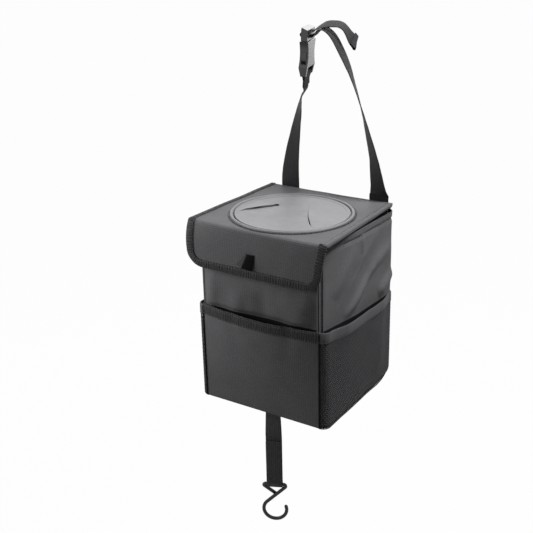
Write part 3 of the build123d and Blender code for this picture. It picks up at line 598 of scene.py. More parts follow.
def lid_surface(coords):
    """Top of the lid, and the flap past the fold: coordinates are x and the distance behind the fold line."""
    x, behind = coords[:, 0], coords[:, 1]
    past = np.maximum(-behind, 0)
    turn = np.minimum(past / FOLD_RADIUS, FOLD_TURN)
    down = np.maximum(past - FOLD_RADIUS * FOLD_TURN, 0)
    share = down / FLAP_RUN
    y = FOLD_Y + np.maximum(behind, 0) - FOLD_RADIUS * np.sin(turn) - down * math.sin(FLAP_TILT)
    z = LID_TOP_Z - FOLD_RADIUS * (1 - np.cos(turn)) - down * math.cos(FLAP_TILT) + lid_lift(x)
    # The flap bows away from the front, its left side most
    side = x / LID_FRONT_HALF
    bow = (1.2 + np.where(side < 0, 3.6, 0.4) * side ** 2) * MM
    y -= np.sin(np.pi * np.clip(share, 0, 1) ** 0.8) * bow
    wave = soft_noise(coords * (1, 0.25), size=17 * MM, seed=11.0)
    y -= 0.7 * MM * wave * np.clip(share, 0, 1)
    ripple = soft_noise(coords, size=40 * MM, seed=13.0)
    z += 0.45 * MM * ripple * step_up(behind, 4 * MM, 20 * MM)
    return np.column_stack([x + LID_SHIFT - FLAP_LEAN * share, y, z])


def tab_surface(coords):
    """Front of the pull tab: coordinates run across it and down."""
    across, down = coords[:, :1] / TAB_SIZE[0], coords[:, 1:] / TAB_SIZE[1]
    left, ridge, right = TAB_TOP[:, None] * (1 - down) + TAB_FOOT[:, None] * down
    pull = 2 * ridge - (left + right) / 2
    rounded = left * (1 - across) ** 2 + 2 * pull * across * (1 - across) + right * across ** 2
    to_ridge, past_ridge = left + (ridge - left) * 2 * across, ridge + (right - ridge) * (2 * across - 1)
    return 0.35 * rounded + 0.65 * np.where(across < 0.5, to_ridge, past_ridge)


def hinge_surface(coords):
    """Strip of cloth up the back wall and over the lid's back edge, counted from its rounded corner."""
    x, up = coords[:, 0], coords[:, 1]
    turn = np.clip(up / HINGE_RADIUS, 0, math.pi / 2)
    over = np.maximum(up - HINGE_RADIUS * math.pi / 2, 0)
    y = BACK_Y - HINGE_RADIUS * (1 - np.cos(turn)) - over
    z = LID_TOP_Z - HINGE_RADIUS * (1 - np.sin(turn)) + np.minimum(up, 0) + lid_lift(-x) * np.sin(turn)
    return np.column_stack([LID_SHIFT * np.sin(turn) - x, y, z])


def lifted(surface, coords, height):
    """Points at this height along the surface's normal."""
    east, north = np.array([PROBE, 0]), np.array([0, PROBE])
    along = surface(coords + east) - surface(coords - east)
    up = surface(coords + north) - surface(coords - north)
    return surface(coords) + unit(np.cross(along, up)) * np.reshape(height, (-1, 1))


def grid_faces(rows, columns, wrap=False):
    """Quads of a grid whose points run along the columns first; wrap joins the last column to the first."""
    faces = []
    for row in range(rows - 1):
        low, high = row * columns, (row + 1) * columns
        for column in range(columns if wrap else columns - 1):
            after = (column + 1) % columns
            faces.append((low + column, low + after, high + after, high + column))
    return faces


def tube_faces(rows, columns):
    """Faces of a closed section carried along a line, with both ends capped."""
    last = (rows - 1) * columns
    caps = [tuple(reversed(range(columns))), tuple(last + column for column in range(columns))]
    return [*grid_faces(rows, columns, wrap=True), *caps]


def make_piece(name, points, faces, coords, material, sharp=40):
    """New mesh object; coords are the pattern coordinates in metres that its weave follows."""
    mesh = bpy.data.meshes.new(name)
    mesh.from_pydata(np.asarray(points, float).tolist(), [], faces)
    work = bmesh.new()
    work.from_mesh(mesh)
    bmesh.ops.recalc_face_normals(work, faces=work.faces)
    work.to_mesh(mesh)
    work.free()
    layer = mesh.uv_layers.new(name="cloth")
    corners = np.zeros(len(mesh.loops), int)
    mesh.loops.foreach_get("vertex_index", corners)
    layer.data.foreach_set("uv", np.asarray(coords, np.float32)[corners].ravel())
    mesh.polygons.foreach_set("use_smooth", np.ones(len(mesh.polygons), bool))
    mesh.set_sharp_from_angle(angle=math.radians(sharp))
    mesh.materials.append(material)
    return link_piece(name, mesh)


def link_piece(name, data):
    """New object of a mesh, a lamp or a camera, in the scene."""
    piece = bpy.data.objects.new(name, data)
    bpy.context.scene.collection.objects.link(piece)
    return piece


def label(piece, nodes):
    """Hides the CAD nodes that a piece stands for."""
    if nodes:
        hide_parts(*nodes)
    return piece


def seat(piece, body, slot, *nodes):
    """Sets a piece on its body and hides the CAD nodes that it stands for; the slot is not used."""
    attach(piece, body)
    return label(piece, nodes)


def bridge(piece, bodies, line, slot, *nodes):
    """Bakes a piece's place into its mesh and hides the CAD nodes that it stands for; the bodies, the line
    and the slot are not used.
    """
    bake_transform(piece)
    return label(piece, nodes)


def layered(name, top, bottom, coords, faces, material):
    """Sheet with thickness between two faces cut to one pattern, closed along its open edges."""
    edges = [(face[i], face[(i + 1) % len(face)]) for face in faces for i in range(len(face))]
    known, count = set(edges), len(top)
    under = [tuple(index + count for index in reversed(face)) for face in faces]
    rim = [(b, a, a + count, b + count) for a, b in edges if (b, a) not in known]
    return make_piece(
        name, np.vstack([top, bottom]), [*faces, *under, *rim], np.vstack([coords, coords]), material
    )


def sheet_piece(name, surface, coords, faces, thickness, material, lift=0.0):
    """Sheet of cloth on a surface: its upper face stands at the lift and its lower face a thickness below."""
    top, bottom = lifted(surface, coords, lift), lifted(surface, coords, lift - thickness)
    return layered(name, top, bottom, coords, faces, material)


def cloth_grid(u_range, v_range, step):
    """Pattern coordinates of a rectangle of cloth and its quads."""
    columns, rows = (
        max(2, int(round(abs(high - low) / step)) + 1) for low, high in (u_range, v_range)
    )
    coords = np.array([(u, v) for v in np.linspace(*v_range, rows) for u in np.linspace(*u_range, columns)])
    return coords, grid_faces(rows, columns)


def bag(name, surface, ring, drop, thickness, step, material):
    """Open bag: walls round a plan ring up to a given drop below the rim, and a bottom."""
    columns = int(ring.length / step)
    around = ring.length * (0.5 + np.arange(columns) / columns)
    foot = ring.floor + FOOT_RISE
    low = [*(ring.floor - np.linspace(78, 4, 8) * MM), *np.linspace(ring.floor, foot, 15)[:-1]]
    rises = np.linspace(0, 1, int((RIM_Z - foot) / step))
    tops = rim_height(ring.unrolled(around)) - drop
    heights = [*[np.full(columns, level) for level in low], *[foot + (tops - foot) * rise for rise in rises]]
    coords = np.column_stack([np.tile(around, len(heights)), np.concatenate(heights)])
    faces = [*grid_faces(len(heights), columns, wrap=True), tuple(reversed(range(columns)))]
    return layered(name, surface(coords), lifted(surface, coords, -thickness), coords, faces, material)


def resample(line, step, closed=False):
    """Points evenly spaced along a line, about this far apart, with the distance walked to each."""
    line = np.asarray(line, float)
    if closed:
        line = np.vstack([line, line[:1]])
    walked = run_lengths(line)
    places = np.linspace(0, walked[-1], max(2, int(round(walked[-1] / step)) + 1))
    points = read_off(walked, line, places)
    return (points[:-1], places[:-1]) if closed else (points, places)


def inward_normals(line):
    """Unit normals to the left of a plane line."""
    along = unit(np.gradient(line, axis=0))
    return np.column_stack([-along[:, 1], along[:, 0]])


def inside(points, outline):
    """Which points lie inside a closed plane outline."""
    x, y = points[:, 0][:, None], points[:, 1][:, None]
    ax, ay = outline[:, 0], outline[:, 1]
    bx, by = np.roll(ax, -1), np.roll(ay, -1)
    crosses = (ay > y) != (by > y)
    rise = np.where(by == ay, 1e-12, by - ay)
    return (np.sum(crosses & (x < (bx - ax) * (y - ay) / rise + ax), axis=1) % 2).astype(bool)


# Even spread of points: distance between rows and least distance from the edge, as shares of the step
ROW_SHARE, CLEAR_SHARE = 0.866, 0.6


def cut_pattern(outline, holes, step):
    """Cuts a flat pattern: triangles over an outline with holes, on an even spread of points."""
    loops = [resample(loop, step, closed=True)[0] for loop in (outline, *holes)]

    def covered(points):
        """Which points lie on the cloth."""
        return inside(points, loops[0]) & ~np.any([inside(points, hole) for hole in loops[1:]], axis=0)

    edge = np.vstack(loops)
    low, high = edge.min(0), edge.max(0)
    rows = np.arange(low[1], high[1], step * ROW_SHARE)
    spread = np.array([
        (x + (row % 2) * step / 2, y) for row, y in enumerate(rows) for x in np.arange(low[0], high[0], step)
    ])
    spread = spread[covered(spread)]
    near = np.array([np.min(np.sum((edge - point) ** 2, axis=1)) for point in spread])
    spread = spread[near > (CLEAR_SHARE * step) ** 2]
    links, first = [], 0
    for loop in loops:
        links += [(first + i, first + (i + 1) % len(loop)) for i in range(len(loop))]
        first += len(loop)
    points, _, faces, *_ = delaunay_2d_cdt(
        [Vector(point) for point in np.vstack([edge, spread])], links, [], 0, 1e-9
    )
    points = np.array([point[:] for point in points])
    keep = covered(np.array([points[list(face)].mean(0) for face in faces]))
    return points, [tuple(face) for face, kept in zip(faces, keep) if kept]


def run_tape(name, surface, line, section, material):
    """Tape along a pattern line; its section is inset and height of the points round it, or gives them."""
    line, walked = resample(line, TAPE_STEP)
    rounds = np.array([section(distance) if callable(section) else section for distance in walked])
    coords = line[:, None, :] + inward_normals(line)[:, None, :] * rounds[:, :, :1]
    points = lifted(surface, coords.reshape(-1, 2), rounds[:, :, 1].reshape(-1))
    columns = rounds.shape[1]
    mapped = np.column_stack([np.repeat(walked, columns), np.tile(run_lengths(rounds[0]), len(walked))])
    return make_piece(name, points, tube_faces(len(walked), columns), mapped, material, sharp=60)


def bead(middle, foot, top, low, high):
    """Section of a sewn bead in millimetres: its middle, half widths at foot and top, and their heights."""
    corners = [(middle - foot, low), (middle + foot, low), (middle + top, high), (middle - top, high)]
    return np.array(corners) * MM


def folded(distance, width, over, under, ripple):
    """Section of a tape folded over an edge, puckered a little at each stitch."""
    pitch = bpy.context.scene.trash_bin.cloth.stitch_pitch
    top = over + ripple * math.sin(2 * math.pi * distance / pitch)
    return [
        (width, over * 0.35), (width - 0.6 * MM, top * 0.95), (width * 0.55, top * 1.1),
        (0.9 * MM, top), (-0.35 * MM, over * 0.45), (-0.6 * MM, (over - under) / 2),
        (-0.35 * MM, -under * 0.6), (0.9 * MM, -under), (width * 0.5, -under), (width, -under * 0.8),
    ]


# A stitch: reach and girth of each ring of points, as shares; how much of the pitch half of it takes
STITCH_RINGS = ((-1.0, 0.2), (-0.75, 0.75), (0.0, 1.0), (0.75, 0.75), (1.0, 0.2))
STITCH_SIDES = 6
STITCH_SHARE = 0.36
# Radius of the thread, and how much wider than high it lies
THREAD, STITCH_FLATTENING = 0.3 * MM, 1.2


def sew(name, surface, line, inset, lift):
    """Row of stitches that follows a pattern line at an inset, lying on the cloth."""
    pitch = bpy.context.scene.trash_bin.cloth.stitch_pitch
    line, _ = resample(line, pitch)
    inward = inward_normals(line)
    along = np.column_stack([inward[:, 1], -inward[:, 0]])
    angles = [2 * math.pi * side / STITCH_SIDES for side in range(STITCH_SIDES)]
    shape = np.array([
        (reach * pitch * STITCH_SHARE, girth * THREAD * math.cos(angle) * STITCH_FLATTENING,
         girth * THREAD * math.sin(angle))
        for reach, girth in STITCH_RINGS for angle in angles
    ])
    centres = line + inward * inset
    coords = centres[:, None] + along[:, None] * shape[:, :1] + inward[:, None] * shape[:, 1:2]
    coords = coords.reshape(-1, 2)
    points = lifted(surface, coords, np.tile(lift + shape[:, 2], len(centres)))
    one = tube_faces(len(STITCH_RINGS), STITCH_SIDES)
    faces = [
        tuple(index + stitch * len(shape) for index in face) for stitch in range(len(centres)) for face in one
    ]
    return make_piece(name, points, faces, coords, finish("polyester_thread_spun"), sharp=80)


def smooth_run(stations, step):
    """Even, smooth run of rows through stations, by a cubic through each neighbour pair."""
    stations = np.asarray(stations, float)
    padded = np.vstack([2 * stations[0] - stations[1], stations, 2 * stations[-1] - stations[-2]])
    rows = []
    for index in range(1, len(padded) - 2):
        a, b, c, d = padded[index - 1:index + 3]
        count = max(2, int(np.linalg.norm((c - b)[:3]) / step))
        for t in np.arange(count) / count:
            rows.append(0.5 * (2 * b + (c - a) * t + (2 * a - 5 * b + 4 * c - d) * t ** 2
                               + (3 * b - a - 3 * c + d) * t ** 3))
    return np.array([*rows, stations[-1]])


def weave_strap(name, stations, width, material, step=1.8 * MM):
    """Flat webbing through stations of a centre and a width direction, with rounded woven edges."""
    rows = smooth_run([[*centre, *across] for centre, across in stations], step)
    centres, across = rows[:, :3], rows[:, 3:]
    along = unit(np.gradient(centres, axis=0))
    across = unit(across - along * np.sum(across * along, axis=1)[:, None])
    facing = np.cross(along, across)
    half, thick = width / 2, bpy.context.scene.trash_bin.webbing.thickness / 2
    section = np.array([
        (half * spot, side * thick * (1 - 0.45 * spot ** 8))
        for side in (1, -1) for spot in side * np.linspace(-1, 1, 9)
    ])
    points = centres[:, None] + across[:, None] * section[None, :, :1]
    points = points + facing[:, None] * section[None, :, 1:]
    coords = np.column_stack([
        np.repeat(run_lengths(centres), len(section)), np.tile(section[:, 0] + half, len(centres))
    ])
    return make_piece(
        name, points.reshape(-1, 3), tube_faces(len(centres), len(section)), coords, material, sharp=60
    )


def mirrored(piece, name):
    """Copy of a piece mirrored to the other side of the bin."""
    mesh = piece.data.copy()
    mesh.name = name
    mesh.transform(Matrix.Translation((-LEFT_SPREAD, 0, 0)) @ Matrix.Diagonal((-1, 1, 1, 1)))
    mesh.flip_normals()
    return link_piece(name, mesh)


def hexagon_net(u_range, v_range, cell):
    """Points and six-sided meshes of a net that fills a rectangle."""
    side = cell / math.sqrt(3)
    low, high = zip(u_range, v_range)
    known, points, faces = {}, [], []
    for row in range(int((high[1] - low[1]) / (1.5 * side)) + 2):
        for column in range(int((high[0] - low[0]) / cell) + 2):
            middle = (low[0] + (column + 0.5 * (row % 2)) * cell, low[1] + row * 1.5 * side)
            face = []
            for corner in range(6):
                angle = math.radians(30 + 60 * corner)
                place = (middle[0] + side * math.cos(angle), middle[1] + side * math.sin(angle))
                place = np.clip(place, low, high)
                key = tuple(np.round(place, 7))
                if key not in known:
                    known[key] = len(points)
                    points.append(place)
                if known[key] not in face:
                    face.append(known[key])
            if len(face) >= 4:
                faces.append(tuple(face))
    return np.array(points), faces


def strands(piece, width):
    """Turns a piece's edges into square strands."""
    wire = piece.modifiers.new("strands", "WIREFRAME")
    wire.thickness = width
    wire.use_even_offset = False
    wire.use_boundary = True
    view = bpy.context.evaluated_depsgraph_get()
    knitted = bpy.data.meshes.new_from_object(piece.evaluated_get(view))
    piece.modifiers.clear()
    piece.data = knitted
    return piece


def lid_outline(inset=0.0, flap=True):
    """Pattern outline of the lid, with or without its flap, from the back left corner to the back right."""
    back, front = HALF_WIDTH - inset, LID_FRONT_HALF - inset
    fold = 0.0 if flap else inset
    line = [(-back, LID_DEPTH - inset), (-front, fold)]
    if flap:
        foot, corner = FLAP_HALF - inset, FLAP_CORNER - inset
        end = -FLAP_END + inset
        for sign, start in ((-1, 180), (1, 270)):
            for angle in np.radians(np.arange(start, start + 100, 10)):
                line.append((sign * (foot - corner) + corner * math.cos(angle),
                             end + corner + corner * math.sin(angle)))
    return np.array([*line, (front, fold), (back, LID_DEPTH - inset)])


def circle(centre, radius, count=96):
    """Points round a circle."""
    angles = np.linspace(0, 2 * math.pi, count, endpoint=False)
    return np.column_stack([centre[0] + radius * np.cos(angles), centre[1] + radius * np.sin(angles)])


LID_HOLE = circle((0, DISC_Y - FOLD_Y), DISC_RADIUS - 7 * MM)
SKIN_RADIUS = DISC_RADIUS - 8 * MM
# Slits of the membrane, from its centre: the left one ends in a punched hole
SLITS = (
    np.array([(-55.5, -26), (-53.3, -17.3), (-48.5, -8), (-42, 4.7), (-34.4, 16.4)]) * MM,
    np.array([(8.8, 22.8), (18.8, 4), (29.2, -12), (41.7, -29.4)]) * MM,
)
# How far the lips beside each slit stand up to its left and dip to its right
SLIT_LIPS = ((1.5 * MM, 0.7 * MM), (1.2 * MM, 0.6 * MM))
PUNCHED_AT, PUNCHED_RADIUS = (1.1 * MM, 2.4 * MM), 3.2 * MM
# Sections of the membrane's rim and of the dark tape ring round it, which is painted shadow for the shade
# under the rim: radius from the rim's edge, and height
RIM_SECTION = (
    (-9.5, -1.5), (-9.5, 0.1), (-8.6, 0.1), (-7.6, 0.3), (-6.4, 0.65), (-5.6, 0.55), (-5.1, 0.0),
    (-4.8, -1.3), (-3.7, -1.3), (-3.4, 0.2), (-2.8, 0.95), (-1.8, 1.3), (-0.8, 1.05), (-0.2, 0.4), (0, -1.5),
)
RIM_SHADOW_SECTION = ((-0.4, -1.5), (2.4, -1.5), (2.3, -0.8), (1.6, -0.4), (-0.4, -0.4))


def slit_hole(line, widths):
    """Outline of an opened slit: its line with half widths to each side."""
    line, _ = resample(smooth_run(line, 1 * MM), 1.2 * MM)
    half = np.interp(np.linspace(0, 1, len(line)), *zip(*widths))[:, None] * MM
    side = inward_normals(line) * half
    return np.vstack([line - side, (line + side)[::-1]])


def beside(coords, line):
    """Signed distance to a slit, positive to its left, plain distance and the share of its length nearest."""
    line, _ = resample(smooth_run(line, 1 * MM), 1 * MM)
    gaps = coords[:, None, :] - line[None]
    nearest = np.argmin(np.sum(gaps ** 2, axis=2), axis=1)
    gaps = gaps[np.arange(len(coords)), nearest]
    signed = np.sum(gaps * inward_normals(line)[nearest], axis=1)
    return signed, np.linalg.norm(gaps, axis=1), nearest / (len(line) - 1)


def disc_surface(coords):
    """Top of the rubber membrane: a slack sheet whose lips stand up and dip beside the slits."""
    share = np.clip(np.linalg.norm(coords, axis=1) / SKIN_RADIUS, 0, 1)
    sag = bpy.context.scene.trash_bin.rubber.sag
    height = DISC_TOP_Z + lid_lift(coords[:, 0]) - sag * (1 - share ** 2)
    height += 0.5 * MM * soft_noise(coords, size=30 * MM, seed=31.0) * (1 - share ** 4)
    for line, (raised, dipped) in zip(SLITS, SLIT_LIPS):
        signed, gap, along = beside(coords, line)
        strength = np.sin(np.pi * np.clip(along, 0.02, 0.98)) ** 0.6 * (1 - share ** 6)
        height += np.where(signed > 0, raised, -dipped) * np.exp(-((gap / (13 * MM)) ** 1.3)) * strength
    return np.column_stack([coords[:, 0], coords[:, 1] + DISC_Y, height])


def rim_ring(name, section, material, count=192):
    """Ring round the membrane turned from a closed section."""
    size = len(section)
    angles = np.linspace(0, 2 * math.pi, count, endpoint=False)
    profile = [(DISC_RADIUS + out * MM, DISC_TOP_Z + height * MM) for out, height in section]
    points = np.array([(r * math.cos(a), DISC_Y + r * math.sin(a), z) for a in angles for r, z in profile])
    points[:, 2] += lid_lift(points[:, 0])
    last = (count - 1) * size
    closing = [(last + i, last + (i + 1) % size, (i + 1) % size, i) for i in range(size)]
    faces = [*grid_faces(count, size, wrap=True), *closing]
    return make_piece(name, points, faces, points[:, :2], material, sharp=60)


# Buckle: middle of the socket's mouth, the way up, out of its face and across it
BUCKLE_MOUTH = np.array((-32.8, 1.0, -6.0)) * MM
BUCKLE_UPWARD = np.array(JOINT["buckle_slide"]["axis"])
BUCKLE_TURN = math.radians(106)
BUCKLE_OUTWARD = unit(np.cross([(math.cos(BUCKLE_TURN), math.sin(BUCKLE_TURN), 0)], BUCKLE_UPWARD))[0]
BUCKLE_ACROSS = np.cross(BUCKLE_UPWARD, BUCKLE_OUTWARD)
HALF_TURN = [math.pi * step / 8 for step in range(9)]
# Straps, in millimetres: centre, and the heading across it in degrees
LEFT_RISE = (
    (-59, 0.7, -240, 0), (-59, 0.7, -186, 0), (-58.6, 0.7, -170, -5), (-57.3, 0.7, -157, -12.5),
    (-56.2, 0.7, -149, -17), (-55, 0.7, -141, -21), (-53.8, 0.7, -134, -25), (-52.2, 0.7, -126, -29.5),
    (-50.8, 0.7, -118, -33), (-49.3, 0.7, -110.5, -37), (-47.8, 0.7, -103, -41), (-46.1, 0.7, -95.5, -44.5),
    (-44.6, 0.7, -88, -49), (-43.1, 0.7, -80.5, -55), (-41.4, 0.7, -73, -60.5),
)
RIGHT_RISE = (
    (64.3, 0.7, -240, 180), (64.3, 0.7, -186, 180), (64.3, 0.7, -184.6, 180), (63.3, 0.7, -179, 166),
    (62.2, 0.7, -171.6, 157.5), (60.9, 0.7, -164.4, 153.5), (59.7, 0.7, -157.3, 150), (58.4, 0.7, -150, 146),
    (57.2, 0.7, -143, 142.5), (55.4, 0.7, -136, 139.5), (53.6, 0.7, -129, 137.5), (51.6, 0.7, -122, 135.5),
    (49.5, 0.7, -115, 133), (47.5, 0.7, -108, 130.5), (45.5, 0.7, -101, 128.5), (43.5, 0.7, -94.3, 125.5),
    (41.2, 0.9, -87.4, 124), (38.9, 0.9, -80.6, 121.5), (36.6, 0.9, -73.8, 119), (34.3, 0.9, -67, 117.5),
    (31.8, 0.9, -60.2, 116), (29.2, 0.9, -53.5, 114.5), (26.6, 0.9, -46.8, 112), (23.9, 0.9, -40, 109.5),
    (20.8, 0.9, -33.4, 106.5), (17.5, 0.9, -26.7, 104.5), (13.9, 0.9, -20.1, 103), (8.8, 1.2, -11.5, 102.5),
    (4.2, 1.6, -4.6, 102.5), (-0.9, 2, 1.2, 103), (-7.1, 2.4, 5.4, 104), (-13.6, 2.8, 6.7, 105),
    (-19.3, 3.4, 3.8, 106),
)
BOTTOM_DROP = (
    (0, -111, -414.8, 0), (0, -137, -414.8, 0), (0, -141, -415.6, 0), (0, -142, -419, 0),
    (0, -142, -429.4, 4.8), (0, -142, -447.4, 15.6), (0, -142, -457.5, 23.3),
)
# Free tail of the right strap: centre in millimetres, and the direction across it
TAIL = (
    ((-22, 4.8, 7.2), (-0.3, 0.94, 0.08)), ((-15.2, 6.2, 10.6), (-0.26, 0.93, 0.18)),
    ((-8.7, 7.6, 12), (-0.36, 0.91, 0.19)), ((-2.2, 10, 12.2), (-0.46, 0.87, 0.18)),
    ((3.4, 12.1, 11.6), (-0.48, 0.86, 0.2)), ((8, 14, 9), (-0.46, 0.86, 0.28)),
    ((11.2, 15.8, 4.4), (-0.42, 0.86, 0.4)), ((13.4, 17.6, -0.4), (-0.36, 0.86, 0.44)),
    ((15.6, 19.6, -4.8), (-0.32, 0.84, 0.5)), ((18.6, 22.4, -9.6), (-0.32, 0.82, 0.55)),
)
# Its end is folded back on its upper face: millimetres onward and up from the last centre
TAIL_FOLD = ((0.9, 0.4), (0.9, 1.2), (0, 1.6), (-3, 1.6), (-6, 1.6))


def headed(rows):
    """Stations of a strap from rows of a centre and a level heading."""
    return [
        (np.array(centre) * MM, (math.cos(math.radians(turn)), math.sin(math.radians(turn)), 0.0))
        for *centre, turn in rows
    ]


def at_buckle(up, out):
    """Point on the buckle's middle plane, in millimetres up from the socket's mouth and out of its face."""
    return BUCKLE_MOUTH + (BUCKLE_UPWARD * up + BUCKLE_OUTWARD * out) * MM


def doubled(bar, down, face, across, radius, run):
    """Stations of webbing that goes up to a bar, round it and back down on its other face."""
    bar, down, face = np.array(bar), np.array(down), np.array(face)
    lap, near = face * 0.72 * MM, down * (2.6 * radius)
    loop = [bar - face * radius * math.cos(angle) - down * radius * math.sin(angle) for angle in HALF_TURN]
    rows = [bar + down * run - lap, bar + near - lap, *loop, bar + near + lap]
    rows.append(bar + down * (run - 1 * MM) + lap)
    return [(row, across) for row in rows]


class TrashBinStep(bpy.types.Operator):
    """Shared part of the operators: each builds its pieces from the settings, and raises if it can't"""

    bl_options = {"REGISTER", "UNDO"}

    def execute(self, context):
        self.build(context.scene.trash_bin)
        return {"FINISHED"}


class TRASHBIN_OT_finishes(TrashBinStep):
    """Makes the materials of the bin"""

    bl_idname = "trash_bin.finishes"
    bl_label = "Finishes"

    def build(self, settings):
        cloth, webbing = settings.cloth, settings.webbing
        oxford_cloth(cloth.colour)
        ribbed_tape(cloth.tape_colour)
        flat_webbing("polypropylene_webbing_woven", webbing.colour)
        # Painted light: a lighter copy of the webbing for the strap under the bin
        flat_webbing("bottom_webbing_painted_light", webbing.bottom_painted_light_colour)
        # Name, colour, roughness, size and depth of the grain in millimetres, other sockets
        for row in (
            # Spun thread: dull, a little uneven
            ("polyester_thread_spun", cloth.thread_colour, 0.6, 0.6, 0.1, {}),
            # Coated taffeta film: a soft plasticky shine over fine wrinkles
            ("coated_taffeta_film", cloth.liner_colour, 0.42, 2.2, 0.25, {}),
            # Pressed board: dull, with short fibres
            ("pressed_fibre_board", cloth.board_colour, 0.85, 0.8, 0.15, {}),
            # Moulded rubber: matt and slightly dusty, with a broad soft highlight
            ("rubber_compression_moulded", settings.rubber.colour, 0.55, 1.2, 0.08,
             {"Specular IOR Level": 0.4}),
            # Moulded acetal: satin, with a fine spark-eroded grain
            ("acetal_injection_moulded", webbing.buckle_colour, 0.32, 1.5, 0.01,
             {"Coat Weight": 0.4, "Coat Roughness": 0.25}),
            # Dipped wire: a thick smooth plastic skin with a soft highlight
            ("steel_wire_plastic_dipped", webbing.wire_colour, 0.4, 2.5, 0.03, {"Specular IOR Level": 0.35}),
            # Knitted polyester net: dull twisted filaments
            ("polyester_net_knitted", settings.net.colour, 0.6, 0.7, 0.12, {"Specular IOR Level": 0.15}),
            # Hook-and-loop tape: a dense dull pile
            ("nylon_touch_tape_napped", hex_linear("#161618"), 0.9, 0.5, 0.5, {"Specular IOR Level": 0.05}),
            # Black woven tape: dull; behind the pocket mouths it is painted shade that stands in for their
            # dark insides, and it also covers the net seams
            ("black_tape_and_painted_shade", hex_linear("#121214"), 0.85, 1.5, 0.1, {"Specular IOR Level": 0.05}),
        ):
            plain_finish(*row)


class TRASHBIN_OT_box_cloth(TrashBinStep):
    """Sews the walls and the bottom of the bag, with corner seams and a stitched hem"""

    bl_idname = "trash_bin.box_cloth"
    bl_label = "Box cloth"

    def build(self, settings):
        oxford, tape = finish("polyester_oxford_woven"), finish("polyester_grosgrain_woven")
        walls = bag("box_cloth", wall_surface, BOX_RING, 0, settings.cloth.thickness, 2.1 * MM, oxford)
        seat(
            walls, "bin", "oxford_cloth",
            "front_panel", "back_panel", "left_panel", "right_panel", "bottom_panel",
        )
        # The left front seam is turned in, so its tape doesn't show and its lips are low
        for name, along, trim, lip_height in (
            ("right_front_seam", SEAM_X, tape, 1.2), ("left_front_seam", -SEAM_X, oxford, 0.5),
            ("right_back_seam", BACK_SEAM, tape, 1.2), ("left_back_seam", -BACK_SEAM, tape, 1.2),
        ):
            line = [(along, FLOOR_Z + 1.5 * MM), (along, rim_height(along))]
            cord = bead(0, foot=1.3, top=1.1, low=-0.3, high=0.5)
            seat(run_tape(name, wall_surface, line, cord, trim), "bin", "binding_tape")
            for side in (-2.1, 2.1):
                lip = bead(side, foot=0.7, top=0.5, low=-0.3, high=lip_height)
                seat(run_tape(name + "_lip", wall_surface, line, lip, oxford), "bin", "oxford_cloth")
        around = np.linspace(BOX_RING.length - 1 * MM, 0, 300)
        hem = np.column_stack([around, rim_height(BOX_RING.unrolled(around)) - HEM_STITCH_DROP])
        seat(sew("rim_stitches", wall_surface, hem, inset=0, lift=0.05 * MM), "bin", "oxford_cloth")


class TRASHBIN_OT_liner(TrashBinStep):
    """Hangs the waterproof inner bag"""

    bl_idname = "trash_bin.liner"
    bl_label = "Liner"

    def build(self, settings):
        film = finish("coated_taffeta_film")
        inner = bag("inner_bag", liner_surface, LINER_RING, 3 * MM, 0.4 * MM, 3.4 * MM, film)
        seat(inner, "bin", "liner_film", "liner")


def refinish(node, name):
    """Gives a CAD node that is shown as it is its finish."""
    materials = frame["nodes"][node].data.materials
    materials.clear()
    materials.append(finish(name))


class TRASHBIN_OT_boards(TrashBinStep):
    """Gives the stiffening boards their finish"""

    bl_idname = "trash_bin.boards"
    bl_label = "Boards"

    def build(self, settings):
        for node in ("front_board", "back_board", "bottom_board"):
            refinish(node, "pressed_fibre_board")


class TRASHBIN_OT_lid(TrashBinStep):
    """Cuts the lid with its flap from one pattern and lays its board, lining and back hinge"""

    bl_idname = "trash_bin.lid"
    bl_label = "Lid"

    def build(self, settings):
        oxford = finish("polyester_oxford_woven")
        pattern = cut_pattern(lid_outline(), [LID_HOLE], settings.cloth.mesh_step)
        cover = sheet_piece("lid_cloth", lid_surface, *pattern, 1.2 * MM, oxford)
        bridge(cover, ("lid", "flap"), FOLD_LINE, "oxford_cloth", "lid_panel", "flap_panel")
        coords, faces = cut_pattern(lid_outline(2.5 * MM, flap=False), [LID_HOLE], 4 * MM)
        top = lid_surface(coords)
        for name, upper, lower, material, slot, node in (
            ("lid_stiffener", 1.2 * MM, 3.2 * MM, "pressed_fibre_board", "stiffener", "lid_board"),
            ("lid_film", 3.2 * MM, 4.0 * MM, "coated_taffeta_film", "liner_film", "lid_lining"),
        ):
            depths = top - (0, 0, upper), top - (0, 0, lower)
            seat(layered(name, *depths, coords, faces, finish(material)), "lid", slot, node)
        grid = cloth_grid((-0.080, 0.080), (-18 * MM, 5 * MM), 1.6 * MM)
        hinge = sheet_piece("lid_hinge_cloth", hinge_surface, *grid, 0.8 * MM, oxford, 0.2 * MM)
        bridge(hinge, ("bin", "lid"), ((0, 0, RIM_Z), (0, -0.001, LID_TOP_Z)), "oxford_cloth")


